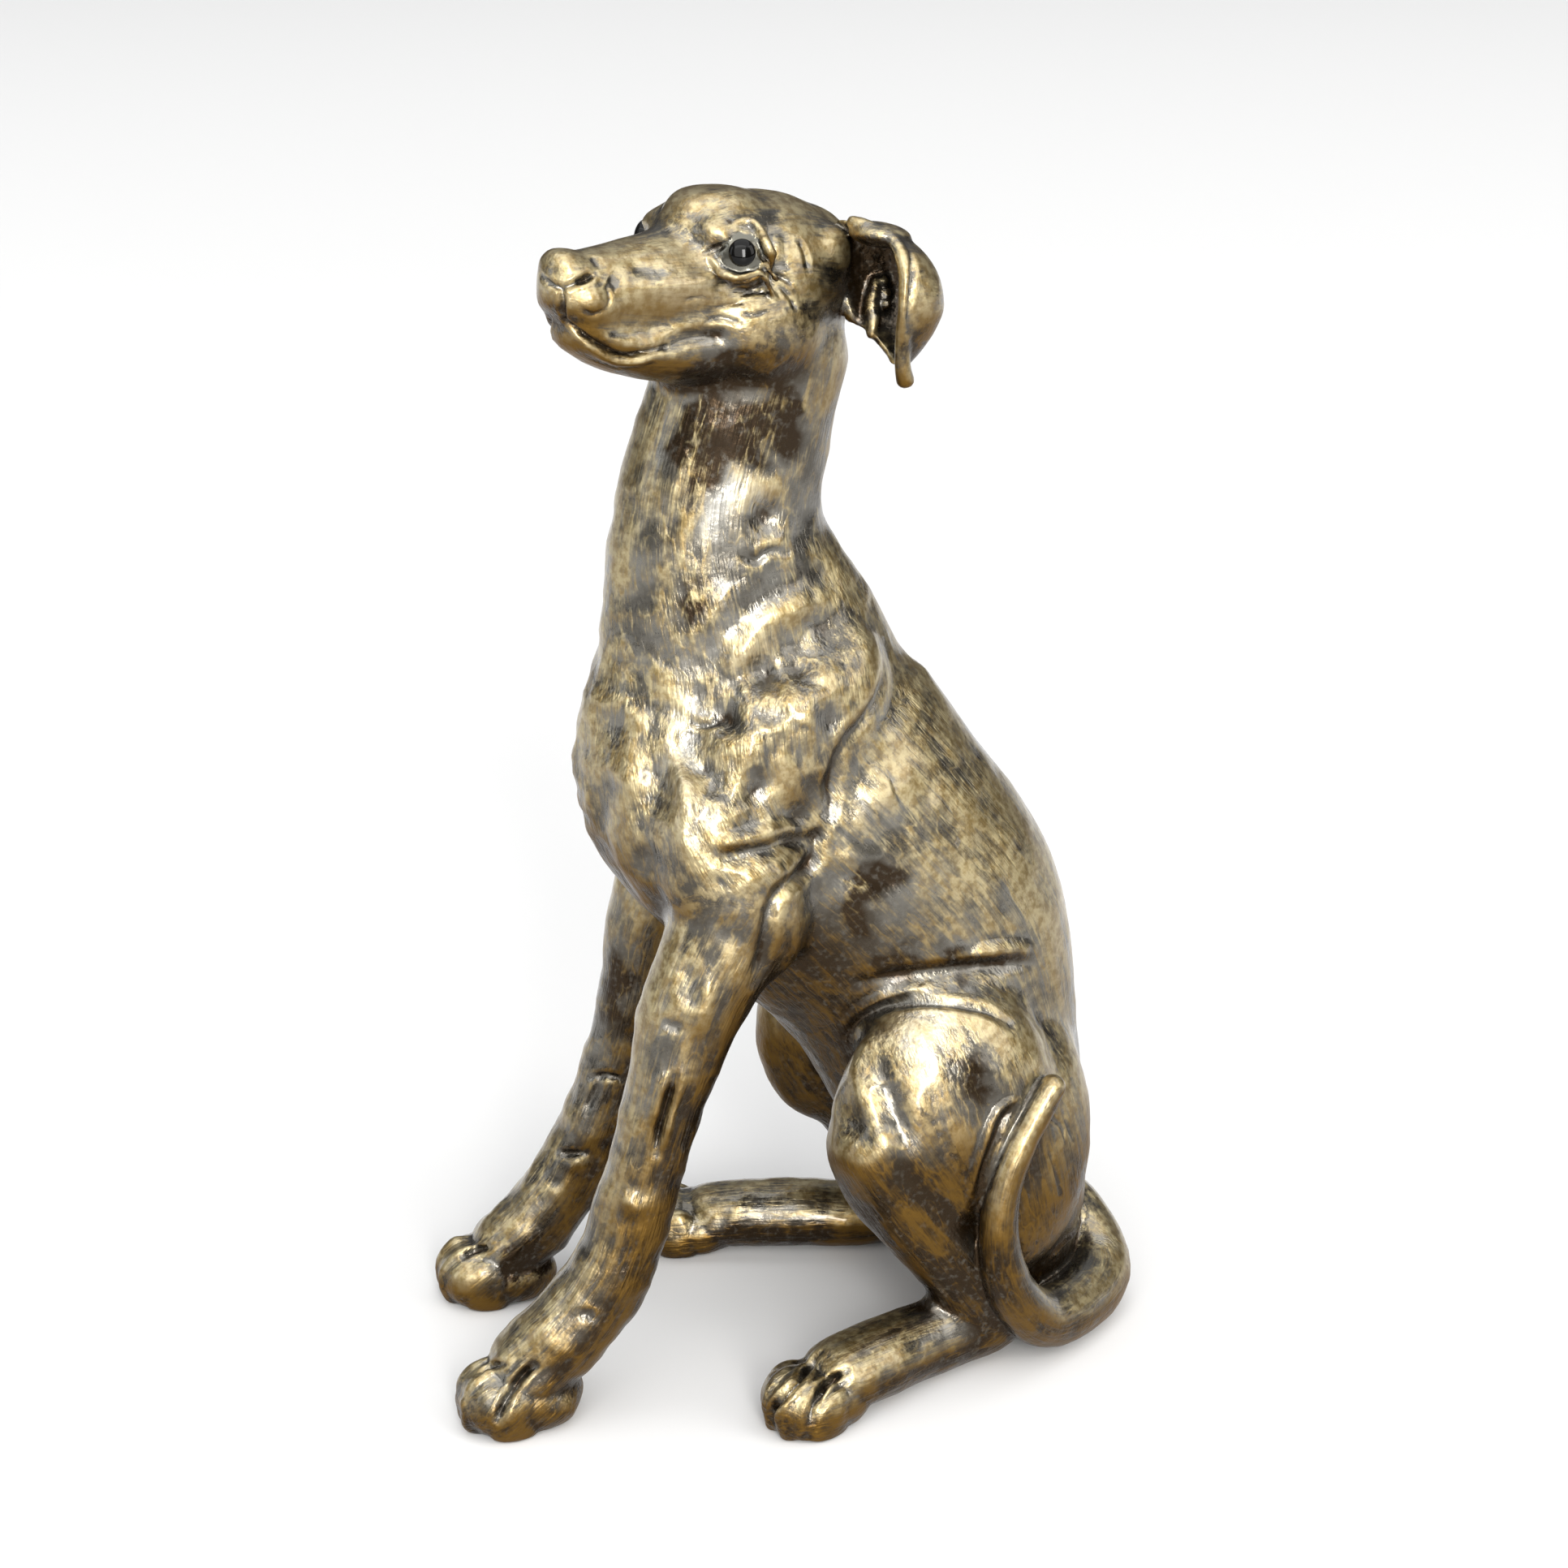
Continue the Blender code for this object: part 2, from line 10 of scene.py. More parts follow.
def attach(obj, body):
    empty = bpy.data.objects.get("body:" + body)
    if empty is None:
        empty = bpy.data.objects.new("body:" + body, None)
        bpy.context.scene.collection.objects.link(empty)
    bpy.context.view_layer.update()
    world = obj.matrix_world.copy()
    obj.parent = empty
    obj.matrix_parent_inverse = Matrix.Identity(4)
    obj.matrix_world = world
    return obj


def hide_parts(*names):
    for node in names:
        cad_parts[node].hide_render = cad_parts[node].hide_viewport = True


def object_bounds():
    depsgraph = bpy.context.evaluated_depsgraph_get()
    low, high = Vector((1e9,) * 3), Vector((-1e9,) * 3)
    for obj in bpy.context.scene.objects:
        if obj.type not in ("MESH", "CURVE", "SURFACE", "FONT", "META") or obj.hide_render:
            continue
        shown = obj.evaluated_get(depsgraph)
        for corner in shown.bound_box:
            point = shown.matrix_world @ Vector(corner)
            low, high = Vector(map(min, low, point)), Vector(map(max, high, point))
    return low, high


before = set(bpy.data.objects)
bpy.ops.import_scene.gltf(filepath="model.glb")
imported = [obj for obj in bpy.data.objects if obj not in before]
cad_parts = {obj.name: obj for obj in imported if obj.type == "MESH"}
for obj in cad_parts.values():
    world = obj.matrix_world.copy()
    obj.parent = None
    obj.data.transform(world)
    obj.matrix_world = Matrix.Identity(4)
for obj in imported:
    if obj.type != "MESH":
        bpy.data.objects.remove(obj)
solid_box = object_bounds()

# The figure is modelled in drawn millimetres, as its solids are, then moved into the frame
DRAWN_MILLIMETRE, MILLIMETRES = 0.001, (1000.0, 1000.0, 1000.0)
BOX_CENTRE = np.array((1.9, -1.6, 0.0))
# Voxel size and smoothing passes, of the big masses alone and then of the whole skin
MASS_VOXEL, MASS_ROUNDING = 1.5, 10
DETAIL_VOXEL, DETAIL_ROUNDING = 0.42, 4
BODY_TRIANGLES = 195000
PATH_STEPS, TUBE_SIDES, BEND_PASSES = 6, 32, 12
TUBE_END_ANGLES, TUBE_END_REACH = (90.0, 75.0, 55.0, 30.0), 0.8
EGG_SIDES, EGG_RINGS = 40, 24
TINY, MERGE_DISTANCE = 1e-9, 1e-6
LEFT, RIGHT = 1.0, -1.0
# The skin is eased in over this depth before the solids' box, and the hidden side's creases are
# this share as deep as the seen side's
BOX_EASE, HIDDEN_SHARE = 0.9, 0.5

# Camera of the photograph, round and above the figure, aimed at a drawn point
CAMERA_AZIMUTH, CAMERA_ELEVATION = math.radians(74.0), math.radians(20.0)
CAMERA_DISTANCE, CAMERA_AIM = 620.0, np.array((-5.0, 0.0, 120.0))
FRAME_WIDTH, FOCAL_PIXELS, SENSOR_WIDTH, CLIP_START = 1932.0, 3751.0, 36.0, 0.01
# Soft boxes round the figure: azimuth, elevation, width, height in metres, brightness, colour
BOX_DISTANCE = 10.0
SOFT_BOXES = (
    ("bright_window", 86.0, 20.0, 1.8, 5.2, 25.0, (1.0, 0.985, 0.96)),
    ("key_box", 68.0, 30.0, 9.0, 9.0, 2.4, (1.0, 0.985, 0.96)),
    ("right_box", 138.0, 28.0, 5.0, 7.0, 3.0, (1.0, 0.98, 0.95)),
    ("left_box", 8.0, 22.0, 3.0, 7.0, 2.0, (0.95, 0.98, 1.0)),
    ("top_box", 80.0, 78.0, 13.0, 13.0, 1.9, (1.0, 1.0, 1.0)),
)
# Room: its walls are paler towards the window, and its ceiling paler still
WINDOW_WAY, UP = (0.60, -0.42, 0.68), (0.0, 0.0, 1.0)
WALL_AWAY, WALL_AT_WINDOW = (0.10, 0.092, 0.085, 1.0), (0.28, 0.285, 0.29, 1.0)
CEILING = (0.50, 0.51, 0.52, 1.0)
WINDOW_RAMP, CEILING_RAMP = (-0.6, 1.0), (0.15, 0.85)
FLOOR_HALF_WIDTH, FLOOR_COLOUR, FLOOR_ROUGHNESS = 8.0, (0.70, 0.70, 0.70, 1.0), 0.6

# Trunk and neck, rump to nape: x, y, z, half width across, half depth
TRUNK = (
    (0.0, 44.5, 13.0, 23.0, 19.0), (0.0, 42.0, 32.0, 26.5, 23.5), (0.0, 35.5, 58.0, 26.0, 27.5),
    (0.0, 26.5, 86.0, 25.5, 33.5), (0.0, 9.5, 108.0, 26.0, 36.0), (0.0, -8.0, 131.0, 23.5, 37.5),
    (0.0, -11.0, 155.0, 18.5, 29.0), (0.0, -15.0, 178.0, 15.5, 21.2),
    (0.0, -10.5, 199.0, 14.0, 19.0), (0.5, -5.5, 214.0, 13.2, 17.5),
)
# Muscles of one side, with x outwards: start, end, half width, half depth
MUSCLES = (
    ((13.0, 9.0, 152.0), (21.0, -20.0, 126.0), 10.0, 15.0),
    ((21.0, -24.0, 130.0), (24.0, -13.0, 97.0), 11.0, 14.0),
    ((9.0, -30.0, 142.0), (12.0, -27.0, 106.0), 11.0, 12.0),
    ((6.0, 7.0, 160.0), (9.0, 7.0, 138.0), 6.5, 9.0),
    ((14.0, 39.0, 70.0), (24.0, 36.0, 26.0), 16.0, 22.0),
    ((26.0, 30.0, 77.0), (29.0, 18.0, 38.0), 13.0, 23.5),
)
MUSCLE_END = 0.6
# Legs from the trunk down, and the tail from the rump: x, y, z, half width, half depth
FRONT_LEG_LEFT = (
    (23.0, -19.0, 102.0, 10.0, 12.5), (24.0, -27.5, 85.0, 9.5, 10.5), (24.5, -32.0, 71.0, 8.4, 8.8),
    (24.8, -35.5, 59.0, 7.8, 8.2), (25.0, -39.0, 47.0, 7.8, 8.3), (25.0, -43.0, 35.0, 7.9, 8.4),
    (24.8, -49.0, 24.5, 8.2, 9.2), (24.6, -57.2, 15.4, 8.8, 9.2), (24.6, -63.0, 10.8, 9.0, 8.6),
)
FRONT_LEG_RIGHT = (
    (-23.0, -17.0, 102.0, 10.0, 12.5), (-24.5, -23.0, 85.0, 9.5, 10.5),
    (-25.2, -26.0, 71.0, 8.4, 8.8), (-25.8, -29.0, 59.0, 7.8, 8.2), (-26.2, -32.5, 47.0, 7.8, 8.4),
    (-26.6, -37.5, 35.0, 7.9, 8.2), (-27.0, -43.5, 24.0, 8.2, 8.4), (-27.2, -52.0, 14.5, 8.8, 8.4),
    (-27.4, -57.5, 10.2, 9.0, 8.0),
)
HIND_LEG_LEFT = (
    (29.0, 8.0, 55.0, 11.5, 9.5), (30.0, 18.0, 39.0, 9.5, 10.0), (29.8, 28.5, 23.0, 7.8, 9.0),
    (27.5, 35.0, 11.0, 7.4, 9.0), (28.2, 28.0, 8.2, 7.4, 8.2), (32.0, 17.5, 8.2, 7.8, 8.0),
    (36.3, 7.0, 8.2, 8.4, 8.0), (39.8, -2.0, 7.8, 8.8, 7.8),
)
HIND_LEG_RIGHT = (
    (-28.0, 11.0, 55.0, 11.5, 9.5), (-29.5, 21.0, 39.0, 9.5, 9.5), (-29.5, 30.0, 23.0, 7.6, 8.5),
    (-27.0, 36.0, 10.0, 7.6, 8.5), (-27.5, 26.0, 7.0, 8.0, 7.2), (-30.0, 14.0, 7.6, 8.4, 7.6),
    (-33.5, 2.0, 7.4, 8.6, 7.6), (-36.5, -9.0, 7.0, 8.8, 7.0),
)
TAIL = (
    (-4.0, 55.0, 22.0, 9.0, 9.0), (2.0, 63.5, 14.5, 8.2, 8.2), (12.0, 65.5, 8.2, 7.6, 7.6),
    (23.0, 56.5, 7.0, 7.0, 7.0), (31.0, 45.5, 9.5, 6.3, 6.3), (37.0, 37.0, 19.5, 5.2, 5.2),
    (39.5, 32.8, 31.5, 4.3, 4.3), (39.8, 32.8, 43.0, 3.7, 3.7), (39.0, 35.8, 52.5, 3.4, 3.4),
    (37.6, 40.5, 60.0, 3.1, 3.1), (36.4, 44.5, 65.5, 2.6, 2.6),
)
# Paws: middle of the toes, turn outwards in degrees, half width, half length, height
PAWS = (
    (24.8, -65.8, 2.0, 9.4, 11.0, 15.6), (-27.4, -60.5, -2.0, 9.4, 11.0, 15.0),
    (41.6, -7.6, 24.0, 9.2, 10.6, 14.6), (-38.2, -14.5, -14.0, 9.2, 10.6, 14.6),
)
# Toes of a paw, in its half width and half length: sideways, forwards, and size
TOES = ((-0.70, -0.20, 0.86), (-0.25, 0.12, 1.0), (0.25, 0.12, 1.0), (0.70, -0.20, 0.86))
INSTEP_MIDDLE, INSTEP_HALF_HEIGHT = (0.35, 0.34), 0.48
TOE_FORWARDS, TOE_UP = 0.3, 0.36
TOE_HALVES = (0.33, 0.62, 0.52)
MITTEN_MIDDLE, MITTEN_HALVES = (0.30, 0.37), (0.99, 0.70, 0.49)

# Head, in its own axes: forward, left and up from its middle
HEAD_MIDDLE = (3.1, -13.4, 225.5)
HEAD_TURN, HEAD_LIFT = math.radians(26.5), math.radians(10.6)
# Along the muzzle and the jaw: forward, left, up, half width, half height
MUZZLE = (
    (0.0, 0.0, 0.0, 13.0, 13.0), (12.0, 0.0, -1.4, 11.6, 10.2), (20.0, 0.0, -2.6, 10.0, 9.3),
    (28.0, 0.0, -3.4, 8.6, 8.4), (35.0, 0.0, -3.8, 7.4, 7.2), (39.5, 0.0, -4.0, 6.0, 5.8),
)
JAW = (
    (-2.0, 0.0, -9.5, 11.5, 9.5), (10.0, 0.0, -12.2, 11.0, 8.0), (20.0, 0.0, -13.4, 9.4, 6.4),
    (28.0, 0.0, -13.4, 8.0, 5.2), (36.0, 0.0, -12.2, 6.2, 3.6),
)
# Skull, brow, cheeks, lips, nose and the ears' roots: middle, half sizes; mirrored off the middle
HEAD_MASSES = (
    ((-7.5, 0.0, 1.0), (19.0, 16.2, 16.4)), ((4.0, 0.0, 8.8), (12.5, 11.5, 8.6)),
    ((-16.0, 0.0, 2.0), (13.5, 13.5, 14.0)), ((-3.0, 8.4, -7.5), (14.0, 9.0, 10.5)),
    ((9.0, 8.6, 8.4), (7.0, 5.2, 3.9)), ((35.0, 4.4, -5.8), (6.8, 4.1, 4.8)),
    ((40.5, 0.0, -0.4), (4.0, 5.2, 4.0)), ((-14.0, 12.6, 7.0), (4.6, 3.4, 6.0)),
)
EYE_PLACE, EYE_FACING = (10.2, 14.2, 6.0), (0.64, 0.74, 0.20)
EYEBALL_RADIUS = 6.0
EYE_HOLLOW, EYE_HOLLOW_WIDTH, EYE_HOLLOW_HALF_LENGTH = 1.4, 6.5, 2.0
# Eyelids seen from in front of the eye: towards the ear, upwards, half thickness
UPPER_LID = (
    (-7.4, 0.6, 0.5), (-4.8, 2.4, 0.55), (-3.2, 4.2, 0.6), (-1.6, 5.6, 0.65), (0.4, 6.4, 0.7),
    (1.8, 5.9, 0.75), (3.4, 4.2, 0.85), (4.5, 1.8, 0.9), (5.4, -1.2, 0.65), (7.0, -3.6, 0.5),
)
LOWER_LID = (
    (-7.6, 0.0, 0.5), (-5.4, -1.6, 0.6), (-3.6, -3.4, 0.7), (-1.4, -4.4, 0.75), (0.8, -4.7, 0.75),
    (3.0, -3.8, 0.7), (4.4, -3.4, 0.6), (6.4, -5.6, 0.55), (7.8, -6.9, 0.5),
)
LID_BEND = 7.6
BEAD_RADIUS, BEAD_DEPTH, BEAD_PROUD, BEAD_DOME = 2.5, 2.2, 0.3, 1.1
BEAD_RINGS, BEAD_SIDES = 14, 48
# Ear, a cupped lobe open forwards: height, middle forward and left, radius, and first and last
# angle of its wall
EAR_RINGS = (
    (13.6, -15.5, 17.6, 2.6, 80.0, 285.0), (11.5, -18.8, 20.0, 6.2, 72.0, 292.0),
    (7.0, -20.8, 21.6, 8.8, 63.0, 294.0), (1.0, -22.0, 22.8, 9.4, 58.0, 294.0),
    (-4.0, -22.4, 23.2, 8.0, 58.0, 290.0), (-8.0, -22.5, 23.7, 5.6, 62.0, 270.0),
    (-11.5, -22.2, 24.6, 2.8, 60.0, 235.0),
)
EAR_RING_STEPS, EAR_WALL_POINTS = 4, 24
# The last share of the wall's points is set out at the root, down to a height
EAR_ROOT, EAR_ROOT_SHARE, EAR_FREE_BELOW = 3.2, 0.25, -6.0
# Fold inside the ear and crumbs of clay on it, its roof and its rim, in the head's axes
EAR_FOLD = (
    (-23.4, 15.9, 3.0, 1.0, 1.0), (-22.6, 16.4, -0.5, 1.4, 1.4), (-22.2, 17.0, -3.5, 1.4, 1.4),
    (-21.8, 18.2, -7.0, 1.0, 1.0),
)
EAR_LUMPS = (
    (-24.6, 16.6, 3.2, 1.1), (-24.9, 17.4, 1.0, 1.2), (-24.4, 18.6, -0.8, 1.0),
    (-24.6, 17.2, -2.2, 1.0),
)
EAR_WALL = 2.4
EAR_ROOF, EAR_ROOF_HALVES = (-18.6, 20.0, 12.0), (6.0, 6.0, 2.4)
EAR_RIM = (
    (-13.6, 17.2, 13.6, 1.2, 1.2), (-15.0, 20.2, 13.2, 1.3, 1.3), (-17.0, 25.5, 11.2, 1.3, 1.3),
    (-17.0, 29.0, 7.0, 1.3, 1.3), (-17.3, 30.3, 1.0, 1.4, 1.4), (-18.4, 29.6, -4.0, 1.4, 1.4),
    (-20.1, 28.6, -8.0, 1.5, 1.5), (-21.2, 28.3, -11.5, 1.6, 1.6), (-22.6, 28.0, -14.0, 1.7, 1.7),
)

# Tool strokes. Each is a half width and a depth in millimetres, below 0 for a raised ridge,
# then places on the photograph, which are carried along its sight lines to the skin.
FACE_STROKES = (
    (0.55, 1.4, ((697, 395), (709, 405), (724, 417), (744, 429), (761, 437), (778, 438),
        (796, 434), (821, 427))),
    (0.8, -0.6, ((724, 429), (745, 441), (762, 447), (782, 447), (818, 437))),
    (0.7, -0.4, ((728, 404), (748, 416), (770, 423), (795, 420))),
    (0.55, 1.0, ((708, 349), (718, 345), (733, 337))), (0.7, 0.8, ((717, 345), (725, 341))),
    (1.7, -0.45, ((732, 367), (733, 368))), (0.5, 0.5, ((716, 381), (731, 388), (746, 381))),
    (0.4, 0.4, ((748, 356), (752, 368), (748, 380))),
    (0.5, 1.0, ((939, 312), (945, 322), (952, 332), (962, 341), (974, 348))),
    (0.9, -0.9, ((937, 290), (944, 300), (951, 312), (954, 325))),
    (1.1, -0.6, ((956, 300), (957, 314))), (0.5, 0.6, ((892, 302), (882, 306), (869, 312))),
    (0.8, -0.7, ((850, 349), (873, 343), (893, 339), (912, 343), (934, 335))),
    (0.5, 0.7, ((897, 345), (917, 347), (931, 342), (942, 342))),
    (0.35, 0.4, ((908, 352), (926, 350), (944, 348))),
    (0.35, 0.4, ((906, 358), (928, 355), (950, 352))),
    (0.35, 0.35, ((912, 363), (932, 360), (952, 357))),
    (0.4, 0.5, ((884, 379), (897, 376), (914, 372))),
    (0.4, 0.4, ((916, 386), (930, 388), (944, 384))),
    (0.5, 0.45, ((868, 396), (882, 392), (899, 394), (912, 400))),
    (0.4, 0.4, ((842, 372), (858, 366), (872, 368))),
    (1.8, -0.5, ((800, 352), (830, 350), (860, 352), (890, 360))),
    (1.6, 0.3, ((776, 330), (800, 334), (826, 334))),
    (1.4, -0.6, ((800, 424), (820, 412), (845, 402), (875, 400), (900, 404))),
    (1.2, 0.6, ((806, 436), (828, 424), (850, 414), (880, 412), (906, 416))),
    (2.2, 0.45, ((750, 340), (758, 346), (765, 352))),
    (1.6, 0.4, ((846, 296), (858, 298), (870, 302))),
    (0.7, 0.8, ((1122, 316), (1124, 345), (1121, 380), (1119, 412))),
    (0.9, -0.6, ((1082, 384), (1078, 398), (1075, 410))),
    (0.5, 0.4, ((960, 352), (972, 364), (980, 380))),
    (0.6, 0.35, ((984, 296), (992, 312), (996, 334))),
)
NOSE_STROKES = (
    (0.5, 0.8, ((667, 340), (677, 349), (689, 355), (700, 353), (711, 348))),
    (0.55, 0.9, ((689, 355), (692, 361), (693, 372), (693, 384), (697, 396))),
    (0.9, 0.35, ((726, 318), (733, 322), (737, 330))),
)
BROW_STROKES = (
    (1.6, 0.35, ((846, 276), (861, 265), (879, 255), (897, 245))),
)
# Creases and muscle edges that both sides have; the hidden side's are half as deep
SIDE_STROKES = (
    (1.6, 1.0, ((1087, 800), (1086, 848), (1066, 886), (1043, 913), (1028, 951), (1022, 990),
        (1005, 1028))),
    (1.5, 1.2, ((1005, 1028), (996, 1066), (967, 1093), (948, 1124), (938, 1181), (930, 1208))),
    (1.5, 0.9, ((1058, 1211), (1100, 1202), (1143, 1198), (1190, 1192), (1225, 1190),
        (1268, 1186))),
    (1.0, 1.0, ((1043, 1277), (1054, 1263), (1068, 1252), (1104, 1238), (1162, 1236), (1215, 1246),
        (1244, 1262))),
    (2.6, -1.0, ((1008, 738), (975, 753), (946, 769), (904, 811), (882, 833))),
    (2.6, -1.1, ((838, 870), (826, 905), (838, 950), (844, 975), (838, 1030))),
)
BODY_STROKES = (
    (2.7, 1.6, ((941, 636), (943, 640))),
    (0.9, 0.8, ((918, 684), (932, 690), (946, 678), (968, 680))),
    (2.0, 0.7, ((940, 833), (944, 840))), (2.8, 1.1, ((972, 825), (976, 830))),
    (4.0, 1.3, ((1016, 786), (1024, 794))), (2.2, 1.4, ((894, 884), (898, 888))),
    (2.4, 1.0, ((943, 826), (946, 846))), (2.4, 1.0, ((980, 802), (984, 818))),
    (0.7, 0.9, ((852, 890), (862, 894), (875, 893), (886, 884))),
    (2.2, 0.8, ((1022, 884), (1026, 890))), (2.0, -0.7, ((905, 852), (934, 846), (956, 862))),
    (2.6, -0.8, ((1006, 838), (996, 872), (990, 900))), (2.4, 0.8, ((868, 950), (880, 965))),
    (2.0, 0.7, ((921, 960), (930, 975))), (2.6, 0.7, ((800, 960), (806, 980))),
    (2.2, -0.8, ((940, 900), (925, 935), (912, 975))), (2.2, 0.8, ((1000, 810), (1004, 840))),
    (1.6, -1.0, ((875, 1043), (905, 1041), (932, 1035), (967, 1023), (1003, 1020))),
    (1.8, 1.3, ((880, 1054), (907, 1052), (935, 1047), (967, 1036), (1000, 1032))),
    (1.8, -0.8, ((909, 1092), (932, 1082), (952, 1076), (968, 1070))),
    (3.4, -1.0, ((1066, 1000), (1085, 985), (1105, 975))),
    (2.0, 0.5, ((1010, 1082), (1060, 1078), (1120, 1090))),
    (1.5, -0.8, ((1190, 1178), (1219, 1172), (1250, 1170), (1272, 1174))),
    (1.0, -0.7, ((1062, 1244), (1080, 1232), (1097, 1225), (1127, 1218), (1162, 1219))),
    (2.6, -0.9, ((1084, 1262), (1068, 1288), (1055, 1315), (1065, 1353), (1084, 1391),
        (1099, 1426), (1122, 1460))),
    (2.8, 0.8, ((1090, 1330), (1100, 1360), (1112, 1400))),
    (2.2, 0.6, ((1085, 1415), (1112, 1447), (1130, 1470))),
    (2.4, -0.5, ((1115, 1340), (1126, 1380), (1134, 1420), (1148, 1460))),
    (0.7, -0.8, ((1248, 1355), (1236, 1361), (1225, 1374), (1214, 1403), (1203, 1437),
        (1196, 1466))),
    (0.8, 0.8, ((1250, 1364), (1236, 1380), (1226, 1406), (1213, 1440), (1205, 1470))),
    (0.6, -0.6, ((1336, 1499), (1313, 1529), (1295, 1551))),
    (0.4, 0.35, ((1298, 1366), (1305, 1385), (1312, 1408))),
    (0.4, 0.35, ((1306, 1362), (1314, 1384), (1322, 1404))),
    (0.4, 0.35, ((1290, 1412), (1300, 1440), (1306, 1470))),
    (0.8, 1.1, ((831, 1327), (824, 1352), (817, 1375), (811, 1400), (807, 1423))),
    (1.0, -0.6, ((841, 1330), (834, 1356), (826, 1380), (819, 1410))),
    (1.0, -0.5, ((820, 1330), (812, 1356), (806, 1380))), (1.0, 0.5, ((822, 1262), (832, 1266))),
    (1.6, -0.6, ((776, 1480), (782, 1490))), (1.0, 0.5, ((712, 1622), (722, 1620), (732, 1626))),
    (1.8, 0.5, ((846, 1200), (856, 1230))), (2.0, -0.5, ((870, 1230), (864, 1262))),
    (0.7, 0.9, ((728, 1328), (742, 1326), (755, 1327), (767, 1330))),
    (0.8, 0.6, ((740, 1333), (730, 1350), (721, 1370))),
    (0.7, 0.9, ((688, 1420), (702, 1422), (722, 1421))), (1.6, -0.7, ((712, 1434), (716, 1436))),
)
PAW_STROKES = (
    (0.8, 1.7, ((657, 1683), (646, 1693), (635, 1706), (624, 1724), (616, 1742), (613, 1750))),
    (0.7, 1.0, ((621, 1680), (604, 1685), (588, 1693))), (1.0, -0.8, ((560, 1726), (566, 1730))),
    (0.8, 1.8, ((1011, 1665), (997, 1683), (984, 1701), (968, 1718), (954, 1736), (951, 1752))),
    (0.8, 1.8, ((1043, 1690), (1030, 1697), (1018, 1706), (1008, 1722), (1001, 1738), (994, 1768))),
    (0.6, 0.9, ((1048, 1698), (1032, 1709), (1020, 1722), (1008, 1745), (1000, 1770))),
    (0.7, 1.2, ((602, 1537), (586, 1541), (571, 1548))),
)
# Blotches of bare pewter-brown resin in the gilding, and patches of painted shade under the jaw,
# on the lower cheek, flank, haunch and far hind leg: place on the photograph, radius, and
# strength, below 0 for more gold
BARE_AND_SHADE_PATCHES = (
    (905, 542, 11.0, 1.4), (800, 395, 8.0, -1.1), (870, 385, 7.0, -0.6), (848, 565, 7.0, 0.9),
    (965, 515, 8.0, 0.8), (850, 505, 8.0, 0.3), (915, 490, 5.0, -0.5), (900, 600, 6.0, -0.4),
    (940, 600, 4.0, -0.7), (862, 650, 8.0, 0.55), (905, 700, 7.0, 0.5), (830, 640, 6.0, 0.6),
    (860, 900, 6.0, -0.5), (1040, 780, 6.0, -0.3), (925, 800, 5.0, -0.8), (975, 710, 5.0, 0.8),
    (925, 735, 5.0, 0.7), (838, 740, 5.5, 0.8), (865, 730, 5.0, 0.7), (800, 690, 5.5, 0.7),
    (805, 795, 4.5, 0.8), (775, 760, 5.0, 0.7), (868, 780, 5.0, 0.8), (840, 820, 5.0, 0.7),
    (752, 850, 4.5, 0.7), (985, 690, 5.0, 0.5), (1050, 690, 4.0, 0.5), (1045, 745, 5.0, 0.6),
    (1020, 790, 4.5, 0.6), (940, 830, 3.0, 0.7), (975, 825, 3.5, 0.7), (895, 886, 3.0, 0.8),
    (1020, 885, 4.0, 0.6), (1000, 620, 7.0, 0.5), (1000, 560, 7.0, 0.5), (945, 640, 3.0, 0.9),
    (757, 345, 2.6, 0.8), (664, 372, 3.5, 0.7), (684, 372, 3.0, 0.6), (676, 346, 2.5, 0.4),
    (815, 330, 4.0, 0.4), (945, 268, 3.6, 0.7), (870, 262, 2.6, 0.6), (980, 250, 5.0, 0.4),
    (915, 243, 3.5, 0.45), (1060, 1140, 9.0, 0.4), (1110, 1075, 8.0, 1.0), (1050, 1090, 7.0, 0.7),
    (1050, 1160, 11.0, 0.5), (880, 445, 8.0, 0.8), (945, 445, 8.0, 0.8), (1180, 1195, 6.0, 1.2),
    (1100, 1200, 6.0, 1.1), (1240, 1195, 5.0, 1.1), (1170, 1305, 8.0, 1.0), (1215, 1345, 7.0, 1.1),
    (1100, 1330, 5.0, 0.5), (1110, 1430, 5.0, 0.6), (1180, 1560, 7.0, 1.2), (1140, 1600, 7.0, 1.3),
    (1060, 1640, 6.0, 0.7), (1310, 1540, 7.0, 1.2), (960, 1690, 4.0, 0.7), (760, 1180, 9.0, 1.0),
    (752, 1250, 9.0, 1.0), (735, 1340, 8.0, 0.9), (700, 1400, 7.0, 0.6), (680, 1500, 8.0, 0.9),
    (620, 1550, 8.0, 1.0), (660, 1580, 7.0, 1.1), (900, 1500, 8.0, 1.0), (980, 1500, 8.0, 0.9),
    (1060, 1500, 8.0, 1.0), (700, 1600, 6.0, 0.7), (600, 1720, 6.0, 0.6), (640, 1740, 6.0, 0.6),
    (720, 1560, 5.0, 0.5), (1070, 330, 6.0, 1.2), (1080, 380, 6.0, 1.0), (1090, 300, 5.0, 1.1),
    (932, 354, 2.2, 1.1), (916, 280, 1.6, 1.5), (884, 306, 1.6, 1.4), (951, 325, 1.2, 1.5),
    (963, 340, 1.2, 1.5), (820, 1290, 4.0, 0.5), (905, 1110, 5.0, 1.1), (985, 1040, 4.0, 1.2),
)
# Painted highlights, paler metal where light glints on neck, shoulder, haunch and cheek: place
# on the photograph, radius, strength
PAINTED_HIGHLIGHT_PATCHES = (
    (902, 606, 5.5, 0.9), (880, 634, 5.0, 0.5), (838, 895, 4.5, 0.7), (840, 945, 4.5, 0.8),
    (842, 1000, 4.0, 0.7), (1110, 1255, 6.0, 0.6), (1150, 1265, 6.0, 0.5), (850, 345, 6.0, 0.4),
    (925, 800, 5.0, 0.5), (1075, 990, 5.0, 0.5),
)

